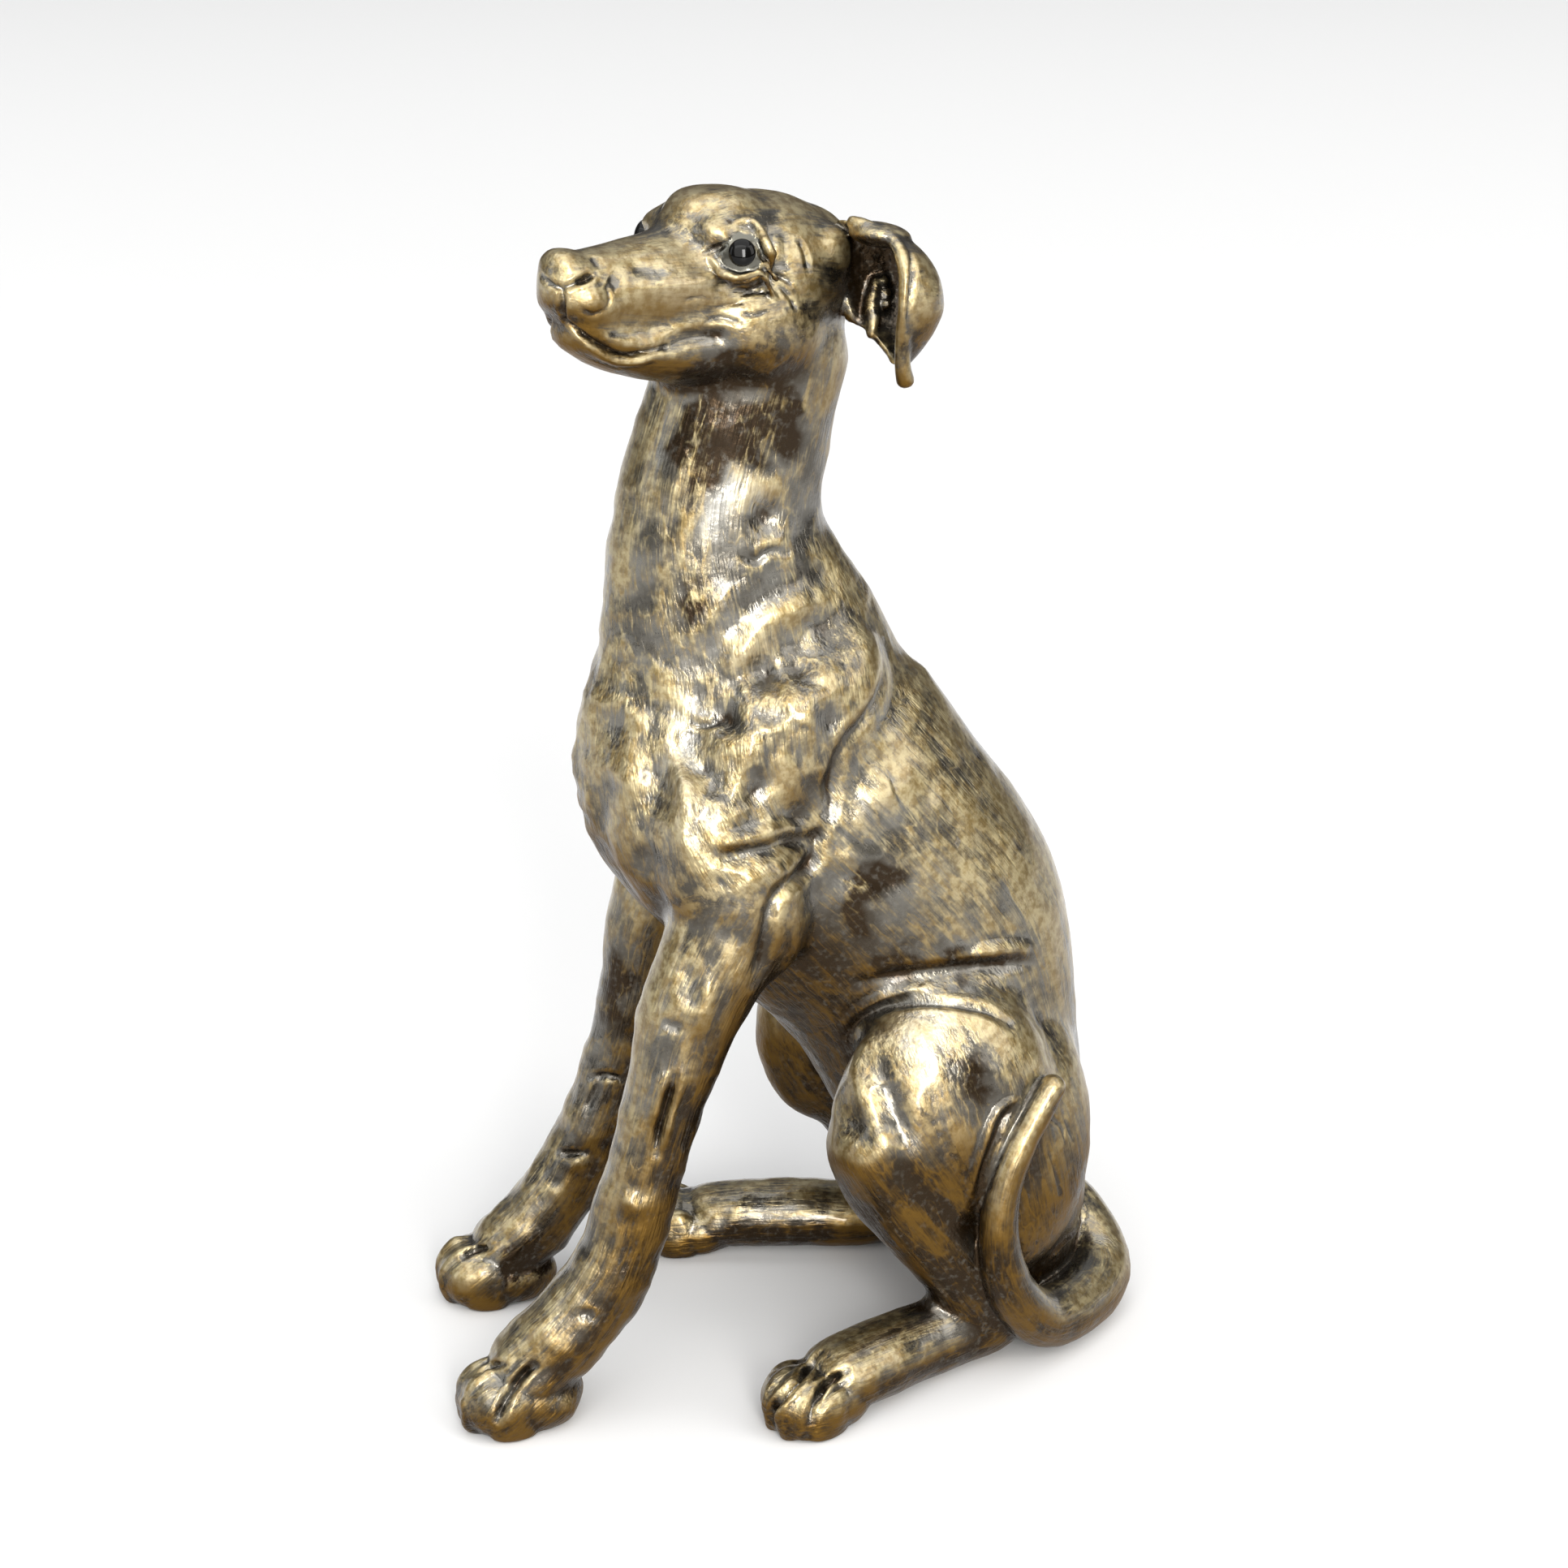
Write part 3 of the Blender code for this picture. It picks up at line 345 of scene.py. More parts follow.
# A pressed line: how far from it the skin moves, in line widths; the share of its length that
# tapers, and the least depth there; and its lip's height, place and width
PRESS_REACH, TAPER_SHARE, TAPER_LEAST, TAPER_OVER_POINTS = 4.0, 0.18, 0.35, 4
LIP_HEIGHT, LIP_PLACE, LIP_WIDTH = 0.22, 1.9, 0.8
STROKE_STEPS = 3
# Cells after which a random field repeats
LATTICE = 32
# Thumb marks: size, height, level and seed, and the reach, size and seeds by which they wander
MARK_SIZE, MARK_HEIGHT, MARK_LEVEL, MARK_SEED = 9.5, 1.15, 0.3, 4
MARK_WANDER = (1.5, 6.0, (1, 2, 3))
# Ripples between the thumb marks: size, height, seed
RIPPLES = ((5.5, 0.35, 13), (3.2, 0.22, 5))
CALM_EYE_RADIUS = 8.0
# Where the maker's fingers show on the figure, in drawn millimetres, and how strongly
SHOULDER_HEIGHT, SHOULDER_SPREAD, SHOULDER_BACK, SHOULDER_FADE = 132.0, 26.0, 14.0, 24.0
LEG_TOP, LEG_TOP_FADE, LEG_BACK, LEG_FADE = 95.0, 40.0, 10.0, 25.0
NECK_HEIGHT, NECK_SPREAD = 175.0, 22.0
HEAD_FROM, HEAD_FADE = 208.0, 8.0
HAND_ALL_OVER, HAND_SHOULDER, HAND_LEGS, HAND_NECK, HAND_LOST_ON_HEAD = 0.3, 1.0, 0.45, 0.2, 0.55

# Rises and hollows: smoothing passes that the skin is set against, and the full height
RISE_PASSES, RISE_FULL = 6, 0.12
HOLLOW_PASSES, HOLLOW_FULL = 60, 1.1
# Ragged edges of the patches: reach, size and seeds by which they wander
RAGGED_EDGES = ((3.0, 5.0, (7, 8, 9)), (1.2, 2.2, (10, 11, 12)))
BARE_AND_SHADE_LIMIT = 1.5
# Painted shade on undersides and low down: passes that soften the normals, the level that counts,
# and how it grows low down
UNDERSIDE_SHADE_PASSES, UNDERSIDE_SHADE_LEVEL, UNDERSIDE_SHADE_LOW, SHADE_LOW_FROM, SHADE_LOW_FADE = 12, 0.18, 0.40, 125.0, 90.0
# Eyeball: how near to its ball the skin lies, and how far from its middle
EYEBALL_FULL, EYEBALL_SHARPNESS, EYEBALL_REACH = 1.6, 3.0, 4.0
# The head's path for the brush, in its own axes
HEAD_PATH = (
    (-24.0, 0.0, 0.0, 15.0, 15.0), (-6.0, 0.0, 0.0, 17.0, 17.0), (12.0, 0.0, -2.0, 12.0, 12.0),
    (40.0, 0.0, -4.0, 7.0, 7.0),
)
# Steps of a brush path, the gap between two paths' patterns, and how much nearer than the next
# the nearest has to be
BRUSH_STEPS, BRUSH_GAP, BRUSH_CLEAR = 12, 37.0, 0.25

PEWTER_DARK, PEWTER_PALE = (0.078, 0.069, 0.053, 1.0), (0.175, 0.165, 0.142, 1.0)
GOLD_DARK, GOLD_PALE = (0.25, 0.176, 0.068, 1.0), (0.45, 0.372, 0.205, 1.0)
# Gold in the painted underside shade; dark brown that is partly the real wash in hollows, partly
# painted shade in hollows, dark patches and undersides
GOLD_IN_UNDERSIDE_SHADE, WASH_AND_SHADE_BROWN = (0.130, 0.071, 0.015, 1.0), (0.026, 0.015, 0.006, 1.0)
# Pale pewter and pale gold of the painted highlights
PEWTER_PAINTED_HIGHLIGHT, GOLD_PAINTED_HIGHLIGHT = (0.56, 0.545, 0.49, 1.0), (0.70, 0.63, 0.46, 1.0)
EYEBALL_GREY = (0.105, 0.100, 0.078, 1.0)
BEAD_BLACK, BEAD_BROWN = (0.0008, 0.0008, 0.0008, 1.0), (0.0020, 0.0016, 0.0012, 1.0)
# Patterns drawn out along the brush: stretch, detail, roughness
BRUSH_PATTERNS = (
    ("streak", (0.8, 0.8, 0.07), 4.0, 0.6), ("hair", (2.8, 2.8, 0.16), 3.0, 0.6),
    ("swathe", (0.20, 0.20, 0.045), 3.0, 0.55), ("web", (0.30, 0.30, 0.12), 1.0, 0.5),
    ("strand", (0.9, 0.9, 0.06), 2.0, 0.4), ("scratch", (2.2, 2.2, 0.14), 1.0, 0.4),
)
# Patterns that lie in the clay itself: scale, detail, roughness
CLAY_PATTERNS = (
    ("clay", 0.5, 4.0, 0.6), ("fleck", 2.2, 3.0, 0.6), ("blotch", 0.10, 4.0, 0.6),
    ("lump", 0.42, 2.0, 0.45), ("grit", 1.5, 1.0, 0.4), ("speckle", 0.8, 2.0, 0.5),
    ("worked", 0.07, 2.0, 0.5),
)
SKIN_ATTRIBUTES = ("grain_clear", "rise", "hollow", "bare_and_shade", "painted_highlight", "underside_shade", "hand", "eyeball")
STREAK_SHARE, HAIR_SHARE, WEB_LEVEL = 0.6, 0.4, 0.5
# How much gold each pattern and each part of the form adds or takes away; the bare and
# painted-shade patches and the painted underside shade take gold away
GOLD_WEIGHTS = (
    ("brushed", 1.7), ("clay", 0.35), ("blotch", 0.8), ("swathe", 1.45), ("fleck", 0.25),
    ("web_lines", 1.0), ("underside_shade", -0.28), ("rise", 0.22), ("hollow", -0.25), ("bare_and_shade", -0.36),
)
# Smooth ramps: from, to, and what they give at each end where that isn't 0 and 1
RAMPS = {
    "web_lines": (0.05, 0.0, 0.0, 0.22), "gold": (1.97, 2.67), "tone": (0.35, 0.65),
    "gold_in_underside_shade": (0.0, 0.6), "deep_hollow": (0.3, 1.0), "deep_bare_and_shade": (0.85, 1.3),
    "deep_underside_shade": (0.05, 0.65), "deep_speckle": (0.50, 0.75, 1.0, 0.65),
    "painted_highlight_streak": (0.36, 0.60, 0.25, 1.0), "painted_highlight_off_dark": (0.5, 1.1, 1.0, 0.0),
    "metallic": (0.0, 1.0, 0.97, 0.85), "roughness": (0.0, 1.0, 0.22, 0.37),
    "worked": (0.38, 0.62, 0.35, 1.0), "hand": (0.15, 1.1, 0.6, 1.3),
    "coat_underside_shade": (0.1, 0.6, 0.75, 0.08), "coat_deep": (0.0, 1.0, 1.0, 0.15),
    "bead_roughness": (0.3, 0.7, 0.03, 0.08),
}
# How far the painted highlights pale the pewter and the gold
PAINTED_HIGHLIGHT_PEWTER_SHARE, PAINTED_HIGHLIGHT_GOLD_SHARE = 0.8, 0.6
CLAY_ROUGHNESS, COAT_ROUGHNESS = 0.12, 0.16
# Relief too fine for the mesh: heights as shares of its depth in metres
STRAND_RELIEF, SCRATCH_RELIEF, LUMP_RELIEF, GRIT_RELIEF, GOLD_RELIEF = 0.19, 0.08, 0.20, 0.022, 0.03
RELIEF_DEPTH, RELIEF_LOST_ON_EYEBALL = 0.0018, 0.9
BEAD_TONE_SCALE, BEAD_GLOSS_SCALE, BEAD_SPECULAR = 0.8, 1.5, 0.2


def smooth_rows(rows, steps):
    """Rows on the curve whose cubic pieces pass through the given rows with matching slopes."""
    rows = np.array(rows, float)
    padded = np.vstack((2.0 * rows[0] - rows[1], rows, 2.0 * rows[-1] - rows[-2]))
    a, b, c, d = (padded[i:len(padded) - 3 + i, None] for i in range(4))
    t = np.linspace(0.0, 1.0, steps, endpoint=False)[None, :, None]
    curve = 0.5 * (2.0 * b + (c - a) * t + (2.0 * a - 5.0 * b + 4.0 * c - d) * t ** 2
                   + (3.0 * b - a - 3.0 * c + d) * t ** 3)
    return np.vstack((curve.reshape(-1, rows.shape[1]), rows[-1]))


def unit(vectors):
    """The vectors at length one."""
    return vectors / np.maximum(np.linalg.norm(vectors, axis=-1, keepdims=True), TINY)


def placed(points, matrix):
    """Points carried by a matrix: turned by its axes, then moved by its last column."""
    matrix = np.array(matrix)
    return points @ matrix[:3, :3].T + matrix[:3, 3]


def grid_faces(rows, columns):
    """Four-sided faces of a grid of points, row after row; the last column meets the first."""
    i, j = np.meshgrid(np.arange(rows - 1), np.arange(columns), indexing="ij")
    k = (j + 1) % columns
    corners = (i * columns + j, i * columns + k, (i + 1) * columns + k, (i + 1) * columns + j)
    return np.stack(corners, -1).reshape(-1, 4)


class Clay:
    """Overlapping closed surfaces, kept as one list of points and one of faces."""

    def __init__(self):
        self.points, self.faces, self.count = [], [], 0

    def add_skin(self, points, faces):
        """Take in a skin of points and four-sided faces."""
        self.points.append(points)
        self.faces.append(faces + self.count)
        self.count += len(points)

    def add(self, grid, matrix=None):
        """Take in a grid of points whose columns join up."""
        points = grid.reshape(-1, 3)
        self.add_skin(points if matrix is None else placed(points, matrix),
                      grid_faces(*grid.shape[:2]))

    def arrays(self):
        """All points and all faces, each in one array."""
        return np.vstack(self.points), np.vstack(self.faces)


def path_frames(rows, across):
    """Along a path: its tangents, evened out round bends, and the two directions square to them."""
    tangents = np.gradient(rows[:, :3], axis=0)
    for _ in range(BEND_PASSES):
        tangents[1:-1] = (tangents[:-2] + 2.0 * tangents[1:-1] + tangents[2:]) / 4.0
    tangents = unit(tangents)
    side = unit(across - (tangents @ across)[:, None] * tangents)
    return tangents, side, np.cross(tangents, side)


def tube(rows, across=(1.0, 0.0, 0.0)):
    """Tube with domed ends: middle(s) + side(s) * width(s) * cos a + deep(s) * depth(s) * sin a."""
    rows = smooth_rows(rows, PATH_STEPS)
    tangents, side, deep = path_frames(rows, np.array(across))
    angles = np.radians(TUBE_END_ANGLES)[:, None]

    def end(i, sign):
        reach = sign * TUBE_END_REACH * rows[i, 3:].min()
        centres = rows[i, :3] + tangents[i] * reach * np.sin(angles)
        return np.hstack((centres, rows[i, 3:] * np.cos(angles)))

    rows = np.vstack((end(0, -1.0), rows, end(-1, 1.0)[::-1]))
    side, deep = (np.vstack((way[:1].repeat(len(angles), 0), way, way[-1:].repeat(len(angles), 0)))
                  for way in (side, deep))
    a = math.tau * np.arange(TUBE_SIDES)[None, :, None] / TUBE_SIDES
    return (rows[:, None, :3] + side[:, None] * rows[:, None, 3:4] * np.cos(a)
            + deep[:, None] * rows[:, None, 4:5] * np.sin(a))


def egg(middle, halves, turn=None):
    """Egg: middle + half sizes * (cos b cos a, cos b sin a, sin b), turned by three axes."""
    a = math.tau * np.arange(EGG_SIDES)[None, :] / EGG_SIDES
    b = np.radians(np.linspace(-90.0, 90.0, EGG_RINGS))[:, None]
    ball = np.stack((np.cos(b) * np.cos(a), np.cos(b) * np.sin(a), np.sin(b) + 0.0 * a), -1)
    ball = ball * halves
    return (ball if turn is None else ball @ turn) + middle


def muscle(start, end, half_width, half_depth, side):
    """Long egg from start to end, on one side of the body."""
    start, end = np.array(start) * (side, 1.0, 1.0), np.array(end) * (side, 1.0, 1.0)
    along = unit(end - start)
    across = unit(np.array((1.0, 0.0, 0.0)) - along[0] * along)
    half_length = np.linalg.norm(end - start) / 2.0 + min(half_width, half_depth) * MUSCLE_END
    axes = np.array((across, np.cross(along, across), along))
    return egg((start + end) / 2.0, (half_width, half_depth, half_length), axes)


def head_matrix():
    """Matrix from the head's forward, left and up to the drawn figure's x, y and z."""
    forward = Vector((math.sin(HEAD_TURN) * math.cos(HEAD_LIFT),
                      -math.cos(HEAD_TURN) * math.cos(HEAD_LIFT), math.sin(HEAD_LIFT)))
    left = Vector((math.cos(HEAD_TURN), math.sin(HEAD_TURN), 0.0))
    axes = Matrix((forward, left, forward.cross(left))).transposed()
    return Matrix.Translation(HEAD_MIDDLE) @ axes.to_4x4()


HEAD = head_matrix()
HEAD_INVERSE = HEAD.inverted()


def eye_matrix(side):
    """Matrix at the middle of a bead's rim, with its z axis looking out of the eye."""
    facing = Vector((EYE_FACING[0], EYE_FACING[1] * side, EYE_FACING[2])).normalized()
    place = Vector((EYE_PLACE[0], EYE_PLACE[1] * side, EYE_PLACE[2]))
    return HEAD @ Matrix.Translation(place) @ facing.to_track_quat("Z", "Y").to_matrix().to_4x4()


def add_paw(clay, x, y, turn, half_width, half_length, height):
    """Instep, a mitten over the toes, and four toes, the middle two set forwards."""
    matrix = Matrix.Translation((x, y, 0.0)) @ Matrix.Rotation(math.radians(turn), 4, "Z")
    middle = (0.0, half_length * INSTEP_MIDDLE[0], height * INSTEP_MIDDLE[1])
    clay.add(egg(middle, (half_width, half_length, height * INSTEP_HALF_HEIGHT)), matrix)
    middle = (0.0, -half_length * MITTEN_MIDDLE[0], height * MITTEN_MIDDLE[1])
    clay.add(egg(middle, np.array(MITTEN_HALVES) * (half_width, half_length, height)), matrix)
    for sideways, forwards, size in TOES:
        middle = (half_width * sideways, -half_length * (TOE_FORWARDS + forwards),
                  height * TOE_UP * size)
        halves = np.array(TOE_HALVES) * (half_width, half_length * size, height * size)
        clay.add(egg(middle, halves), matrix)


def add_ear(clay, side):
    """Cupped lobe: an arc of wall round the middle at each height, closed at its ends, and rim."""
    mirror = HEAD @ Matrix.Diagonal((1.0, side, 1.0, 1.0))
    rings = smooth_rows(EAR_RINGS, EAR_RING_STEPS)
    outer = rings[:, 3]
    inner = outer - np.minimum(EAR_WALL, outer)
    outer = np.concatenate((outer[:1], outer, outer[-1:]))
    inner = np.concatenate((outer[:1], inner, outer[-1:]))
    rings = np.vstack((rings[:1], rings, rings[-1:]))
    share = np.linspace(0.0, 1.0, EAR_WALL_POINTS)
    near_root = np.clip((share - (1.0 - EAR_ROOT_SHARE)) / EAR_ROOT_SHARE, 0.0, 1.0) ** 2
    rooted = EAR_ROOT * near_root * (rings[:, :1] > EAR_FREE_BELOW)
    radius = np.hstack((outer[:, None] + rooted, (inner[:, None] + rooted)[:, ::-1]))
    sweep = np.radians(rings[:, 4:5] + share * (rings[:, 5:6] - rings[:, 4:5]))
    angle = np.hstack((sweep, sweep[:, ::-1]))
    grid = np.stack((rings[:, 1:2] + radius * np.cos(angle),
                     rings[:, 2:3] + radius * np.sin(angle), rings[:, :1] + 0.0 * radius), -1)
    clay.add(grid, mirror)
    clay.add(egg(EAR_ROOF, EAR_ROOF_HALVES), mirror)
    clay.add(tube(EAR_RIM), mirror)
    clay.add(tube(EAR_FOLD), mirror)
    for forward, left, up, radius in EAR_LUMPS:
        clay.add(egg((forward, left, up), (radius,) * 3), mirror)


def add_lid(clay, line, side):
    """Eyelid: a roll on the eye's front, lower by the square of its distance from the middle."""
    line = np.array(line)
    drop = -(line[:, 0] ** 2 + line[:, 1] ** 2) / (2.0 * LID_BEND)
    rows = np.column_stack((line[:, 0] * side, line[:, 1], drop, line[:, 2], line[:, 2]))
    clay.add(tube(rows, (0.0, 0.0, 1.0)), eye_matrix(side))


def new_object(name, points, faces):
    """Object with a mesh of these points and four-sided faces."""
    mesh = bpy.data.meshes.new(name)
    mesh.from_pydata(points, [], faces)
    obj = bpy.data.objects.new(name, mesh)
    bpy.context.scene.collection.objects.link(obj)
    return obj


def apply_modifiers(obj):
    """Replace the object's mesh with its modified one."""
    graph = bpy.context.evaluated_depsgraph_get()
    mesh = bpy.data.meshes.new_from_object(obj.evaluated_get(graph))
    obj.modifiers.clear()
    old, obj.data = obj.data, mesh
    bpy.data.meshes.remove(old)


def fused(clay, voxel, rounding):
    """Object with one skin round all the clay, rounded off."""
    obj = new_object("clay", *clay.arrays())
    remesh = obj.modifiers.new("one_skin", "REMESH")
    remesh.mode = "VOXEL"
    remesh.voxel_size = voxel
    smooth = obj.modifiers.new("round_off", "SMOOTH")
    smooth.factor = 0.5
    smooth.iterations = rounding
    apply_modifiers(obj)
    return obj


def read_points(obj):
    """The mesh's points, one a row."""
    points = np.empty(len(obj.data.vertices) * 3, np.float32)
    obj.data.vertices.foreach_get("co", points)
    return points.reshape(-1, 3).astype(float)


def read_normals(obj):
    """The mesh's normals at its points."""
    normals = np.empty(len(obj.data.vertices) * 3, np.float32)
    obj.data.vertex_normals.foreach_get("vector", normals)
    return normals.reshape(-1, 3).astype(float)


def write_points(obj, points):
    """Put the mesh's points in new places."""
    obj.data.vertices.foreach_set("co", points.astype(np.float32).ravel())
    obj.data.update()


def read_edges(obj):
    """The mesh's edges, each as the numbers of its two points."""
    edges = np.empty(len(obj.data.edges) * 2, np.int32)
    obj.data.edges.foreach_get("vertices", edges)
    return edges.reshape(-1, 2)


def blurred(values, edges, passes):
    """Rows of values averaged with their neighbours' mean along the edges, passes times over."""
    values = values.astype(float)
    count = len(values)
    degree = np.bincount(edges.ravel(), minlength=count).astype(float)
    for _ in range(passes):
        totals = [np.bincount(edges[:, 0], column[edges[:, 1]], count)
                  + np.bincount(edges[:, 1], column[edges[:, 0]], count) for column in values.T]
        values = 0.5 * values + 0.5 * np.column_stack(totals) / degree[:, None]
    return values


# The photograph's sight lines, in drawn millimetres
BACK = np.array((math.sin(CAMERA_AZIMUTH) * math.cos(CAMERA_ELEVATION),
                 -math.cos(CAMERA_AZIMUTH) * math.cos(CAMERA_ELEVATION),
                 math.sin(CAMERA_ELEVATION)))
ACROSS = np.array((math.cos(CAMERA_AZIMUTH), math.sin(CAMERA_AZIMUTH), 0.0))
UPWARDS = np.cross(BACK, ACROSS)
EYE_POINT = CAMERA_AIM + BACK * CAMERA_DISTANCE


def skin_places(obj, places):
    """Points of the skin at places on the photograph: the first hit of each sight line."""
    middle = FRAME_WIDTH / 2.0
    found = []
    for u, v in places:
        ray = unit(-BACK + ACROSS * (u - middle) / FOCAL_PIXELS
                   + UPWARDS * (middle - v) / FOCAL_PIXELS)
        hit, place, _, _ = obj.ray_cast(Vector(EYE_POINT), Vector(ray))
        if hit:
            found.append(np.array(place))
    return np.array(found)


def snapped(obj, points):
    """The nearest places on the skin."""
    return np.array([obj.closest_point_on_mesh(Vector(point))[1] for point in points])


def mirrored_on_head(points):
    """Points on the head carried to its other side: left becomes minus left."""
    return placed(placed(points, HEAD_INVERSE) * (1.0, -1.0, 1.0), HEAD)


def mirrored_on_body(points):
    """Points on the body carried to its other side: x becomes minus x."""
    return points * (-1.0, 1.0, 1.0)


def line_distance(points, line):
    """Distance of every point to a line of straight pieces, and how far along the line, 0 to 1."""
    best = np.full(len(points), np.inf)
    share = np.zeros(len(points))
    pieces = len(line) - 1
    for i in range(pieces):
        a, along = line[i], line[i + 1] - line[i]
        t = np.clip((points - a) @ along / max(along @ along, TINY), 0.0, 1.0)
        distance = np.linalg.norm(points - a - t[:, None] * along, axis=1)
        nearer = distance < best
        best = np.where(nearer, distance, best)
        share = np.where(nearer, (i + t) / pieces, share)
    return best, share


def near_line(points, line, reach):
    """Which points lie in the line's box grown by a reach."""
    inside = (points > line.min(0) - reach) & (points < line.max(0) + reach)
    return np.flatnonzero(np.all(inside, axis=1))


def press(points, normals, lines):
    """Push the skin in along lines: depth * (exp(-(distance / width) squared) - lip)."""
    shift = np.zeros(len(points))
    for line, width, depth in lines:
        index = near_line(points, line, width * PRESS_REACH)
        distance, share = line_distance(points[index], line)
        taper = 1.0
        if len(line) > TAPER_OVER_POINTS:
            taper = np.clip(np.minimum(share, 1.0 - share) / TAPER_SHARE, TAPER_LEAST, 1.0)
        lip = LIP_HEIGHT * np.exp(-((distance - LIP_PLACE * width) / (LIP_WIDTH * width)) ** 2)
        shift[index] += depth * taper * (lip - np.exp(-(distance / width) ** 2))
    return points + normals * shift[:, None]


def stroke_lines(obj, strokes, mirror=None, mirrored_share=1.0):
    """Strokes laid on the skin as smooth lines, with a mirrored copy of each if asked."""
    for width, depth, places in strokes:
        line = skin_places(obj, places)
        if len(line) < 2:
            continue
        line = smooth_rows(line, STROKE_STEPS)
        yield snapped(obj, line), width, depth
        if mirror is not None:
            yield snapped(obj, mirror(line)), width, depth * mirrored_share


def ripple(points, size, seed):
    """Smooth random field, -1 to 1: values on a lattice, blended by 6t^5 - 15t^4 + 10t^3."""
    rng = np.random.default_rng(seed)
    lattice = rng.uniform(-1.0, 1.0, (LATTICE,) * 3)
    points = points @ np.linalg.qr(rng.normal(size=(3, 3)))[0]
    cell = np.floor(points / size).astype(int)
    t = points / size - cell
    t = t * t * t * (t * (t * 6.0 - 15.0) + 10.0)
    field = np.zeros(len(points))
    for corner in itertools.product((0, 1), repeat=3):
        x, y, z = ((cell + corner) % LATTICE).T
        field += lattice[x, y, z] * np.prod(np.where(corner, t, 1.0 - t), axis=1)
    return field


def wander(points, reach, size, seeds):
    """Random shift of each point: up to a reach along each axis."""
    return reach * np.column_stack([ripple(points, size, seed) for seed in seeds])


def thumb_marks(points, size, seed):
    """Bowls side by side: square of the distance to the nearest scattered point, in sizes."""
    scatter = np.random.default_rng(seed).random((LATTICE,) * 3 + (3,))
    points = points / size
    cell = np.floor(points).astype(int)
    best = np.full(len(points), np.inf)
    for corner in itertools.product((-1, 0, 1), repeat=3):
        near = cell + corner
        x, y, z = (near % LATTICE).T
        best = np.minimum(best, ((points - near - scatter[x, y, z]) ** 2).sum(axis=1))
    return best


def falloff(points, middle, radius):
    """exp(-(distance / radius) squared) round a middle."""
    return np.exp(-((points - middle) ** 2).sum(axis=1) / radius ** 2)


def roughness_of_hand(points):
    """How strongly the fingers show: most on the shoulders, less on legs, neck, back and head."""
    _, y, z = points.T
    shoulder = (np.exp(-((z - SHOULDER_HEIGHT) / SHOULDER_SPREAD) ** 2)
                * np.clip((SHOULDER_BACK - y) / SHOULDER_FADE, 0.0, 1.0))
    legs = (np.clip((LEG_TOP - z) / LEG_TOP_FADE, 0.0, 1.0)
            * np.clip((LEG_BACK - y) / LEG_FADE, 0.0, 1.0))
    neck = np.exp(-((z - NECK_HEIGHT) / NECK_SPREAD) ** 2)
    head = np.clip((z - HEAD_FROM) / HEAD_FADE, 0.0, 1.0)
    hand = HAND_ALL_OVER + HAND_SHOULDER * shoulder + HAND_LEGS * legs + HAND_NECK * neck
    return hand * (1.0 - HAND_LOST_ON_HEAD * head)


def finger_relief(points):
    """Height of thumb marks and ripples * strength of the hand, and none round the left eye."""
    marks = thumb_marks(points + wander(points, *MARK_WANDER), MARK_SIZE, MARK_SEED)
    relief = MARK_HEIGHT * (marks - MARK_LEVEL)
    for size, height, seed in RIPPLES:
        relief = relief + height * ripple(points, size, seed)
    eye = placed(np.zeros(3), eye_matrix(LEFT))
    return roughness_of_hand(points) * relief * (1.0 - falloff(points, eye, CALM_EYE_RADIUS))


def held_inside(points):
    """Ease the skin in before the solids' box: limit - ease * exp(-past / ease)."""
    low, high = (np.array(corner) / DRAWN_MILLIMETRE + BOX_CENTRE for corner in solid_box)
    for limit, sign in ((high, 1.0), (-low, -1.0)):
        past = sign * points - (limit - BOX_EASE)
        eased = limit - BOX_EASE * np.exp(-np.maximum(past, 0.0) / BOX_EASE)
        points = np.where(past > 0.0, sign * eased, points)
    return points


def big_masses():
    """Points and faces of trunk, muscles, legs and head, with the eye hollows pressed in."""
    clay = Clay()
    clay.add(tube(TRUNK))
    for side in (LEFT, RIGHT):
        for row in MUSCLES:
            clay.add(muscle(*row, side))
    for leg in (FRONT_LEG_LEFT, FRONT_LEG_RIGHT, HIND_LEG_LEFT, HIND_LEG_RIGHT):
        clay.add(tube(leg))
    for (forward, left, up), halves in HEAD_MASSES:
        for side in (LEFT, RIGHT) if left > 0.0 else (LEFT,):
            clay.add(egg((forward, left * side, up), halves), HEAD)
    for rows in (MUZZLE, JAW):
        clay.add(tube(rows, (0.0, 1.0, 0.0)), HEAD)
    masses = fused(clay, MASS_VOXEL, MASS_ROUNDING)
    ends = np.array(((-EYE_HOLLOW_HALF_LENGTH, 0.0, 0.0), (EYE_HOLLOW_HALF_LENGTH, 0.0, 0.0)))
    hollows = [(snapped(masses, placed(ends, eye_matrix(side))), EYE_HOLLOW_WIDTH, EYE_HOLLOW)
               for side in (LEFT, RIGHT)]
    points = press(read_points(masses), read_normals(masses), hollows)
    faces = np.empty(len(masses.data.polygons) * 4, np.int32)
    masses.data.polygons.foreach_get("vertices", faces)
    bpy.data.objects.remove(masses)
    return points, faces.reshape(-1, 4)


def add_details(clay):
    """Paws, ears, eyeballs, eyelids and tail."""
    for row in PAWS:
        add_paw(clay, *row)
    for side in (LEFT, RIGHT):
        add_ear(clay, side)
        clay.add(egg((0.0, 0.0, -EYEBALL_RADIUS), (EYEBALL_RADIUS,) * 3), eye_matrix(side))
        add_lid(clay, UPPER_LID, side)
        add_lid(clay, LOWER_LID, side)
    clay.add(tube(TAIL))


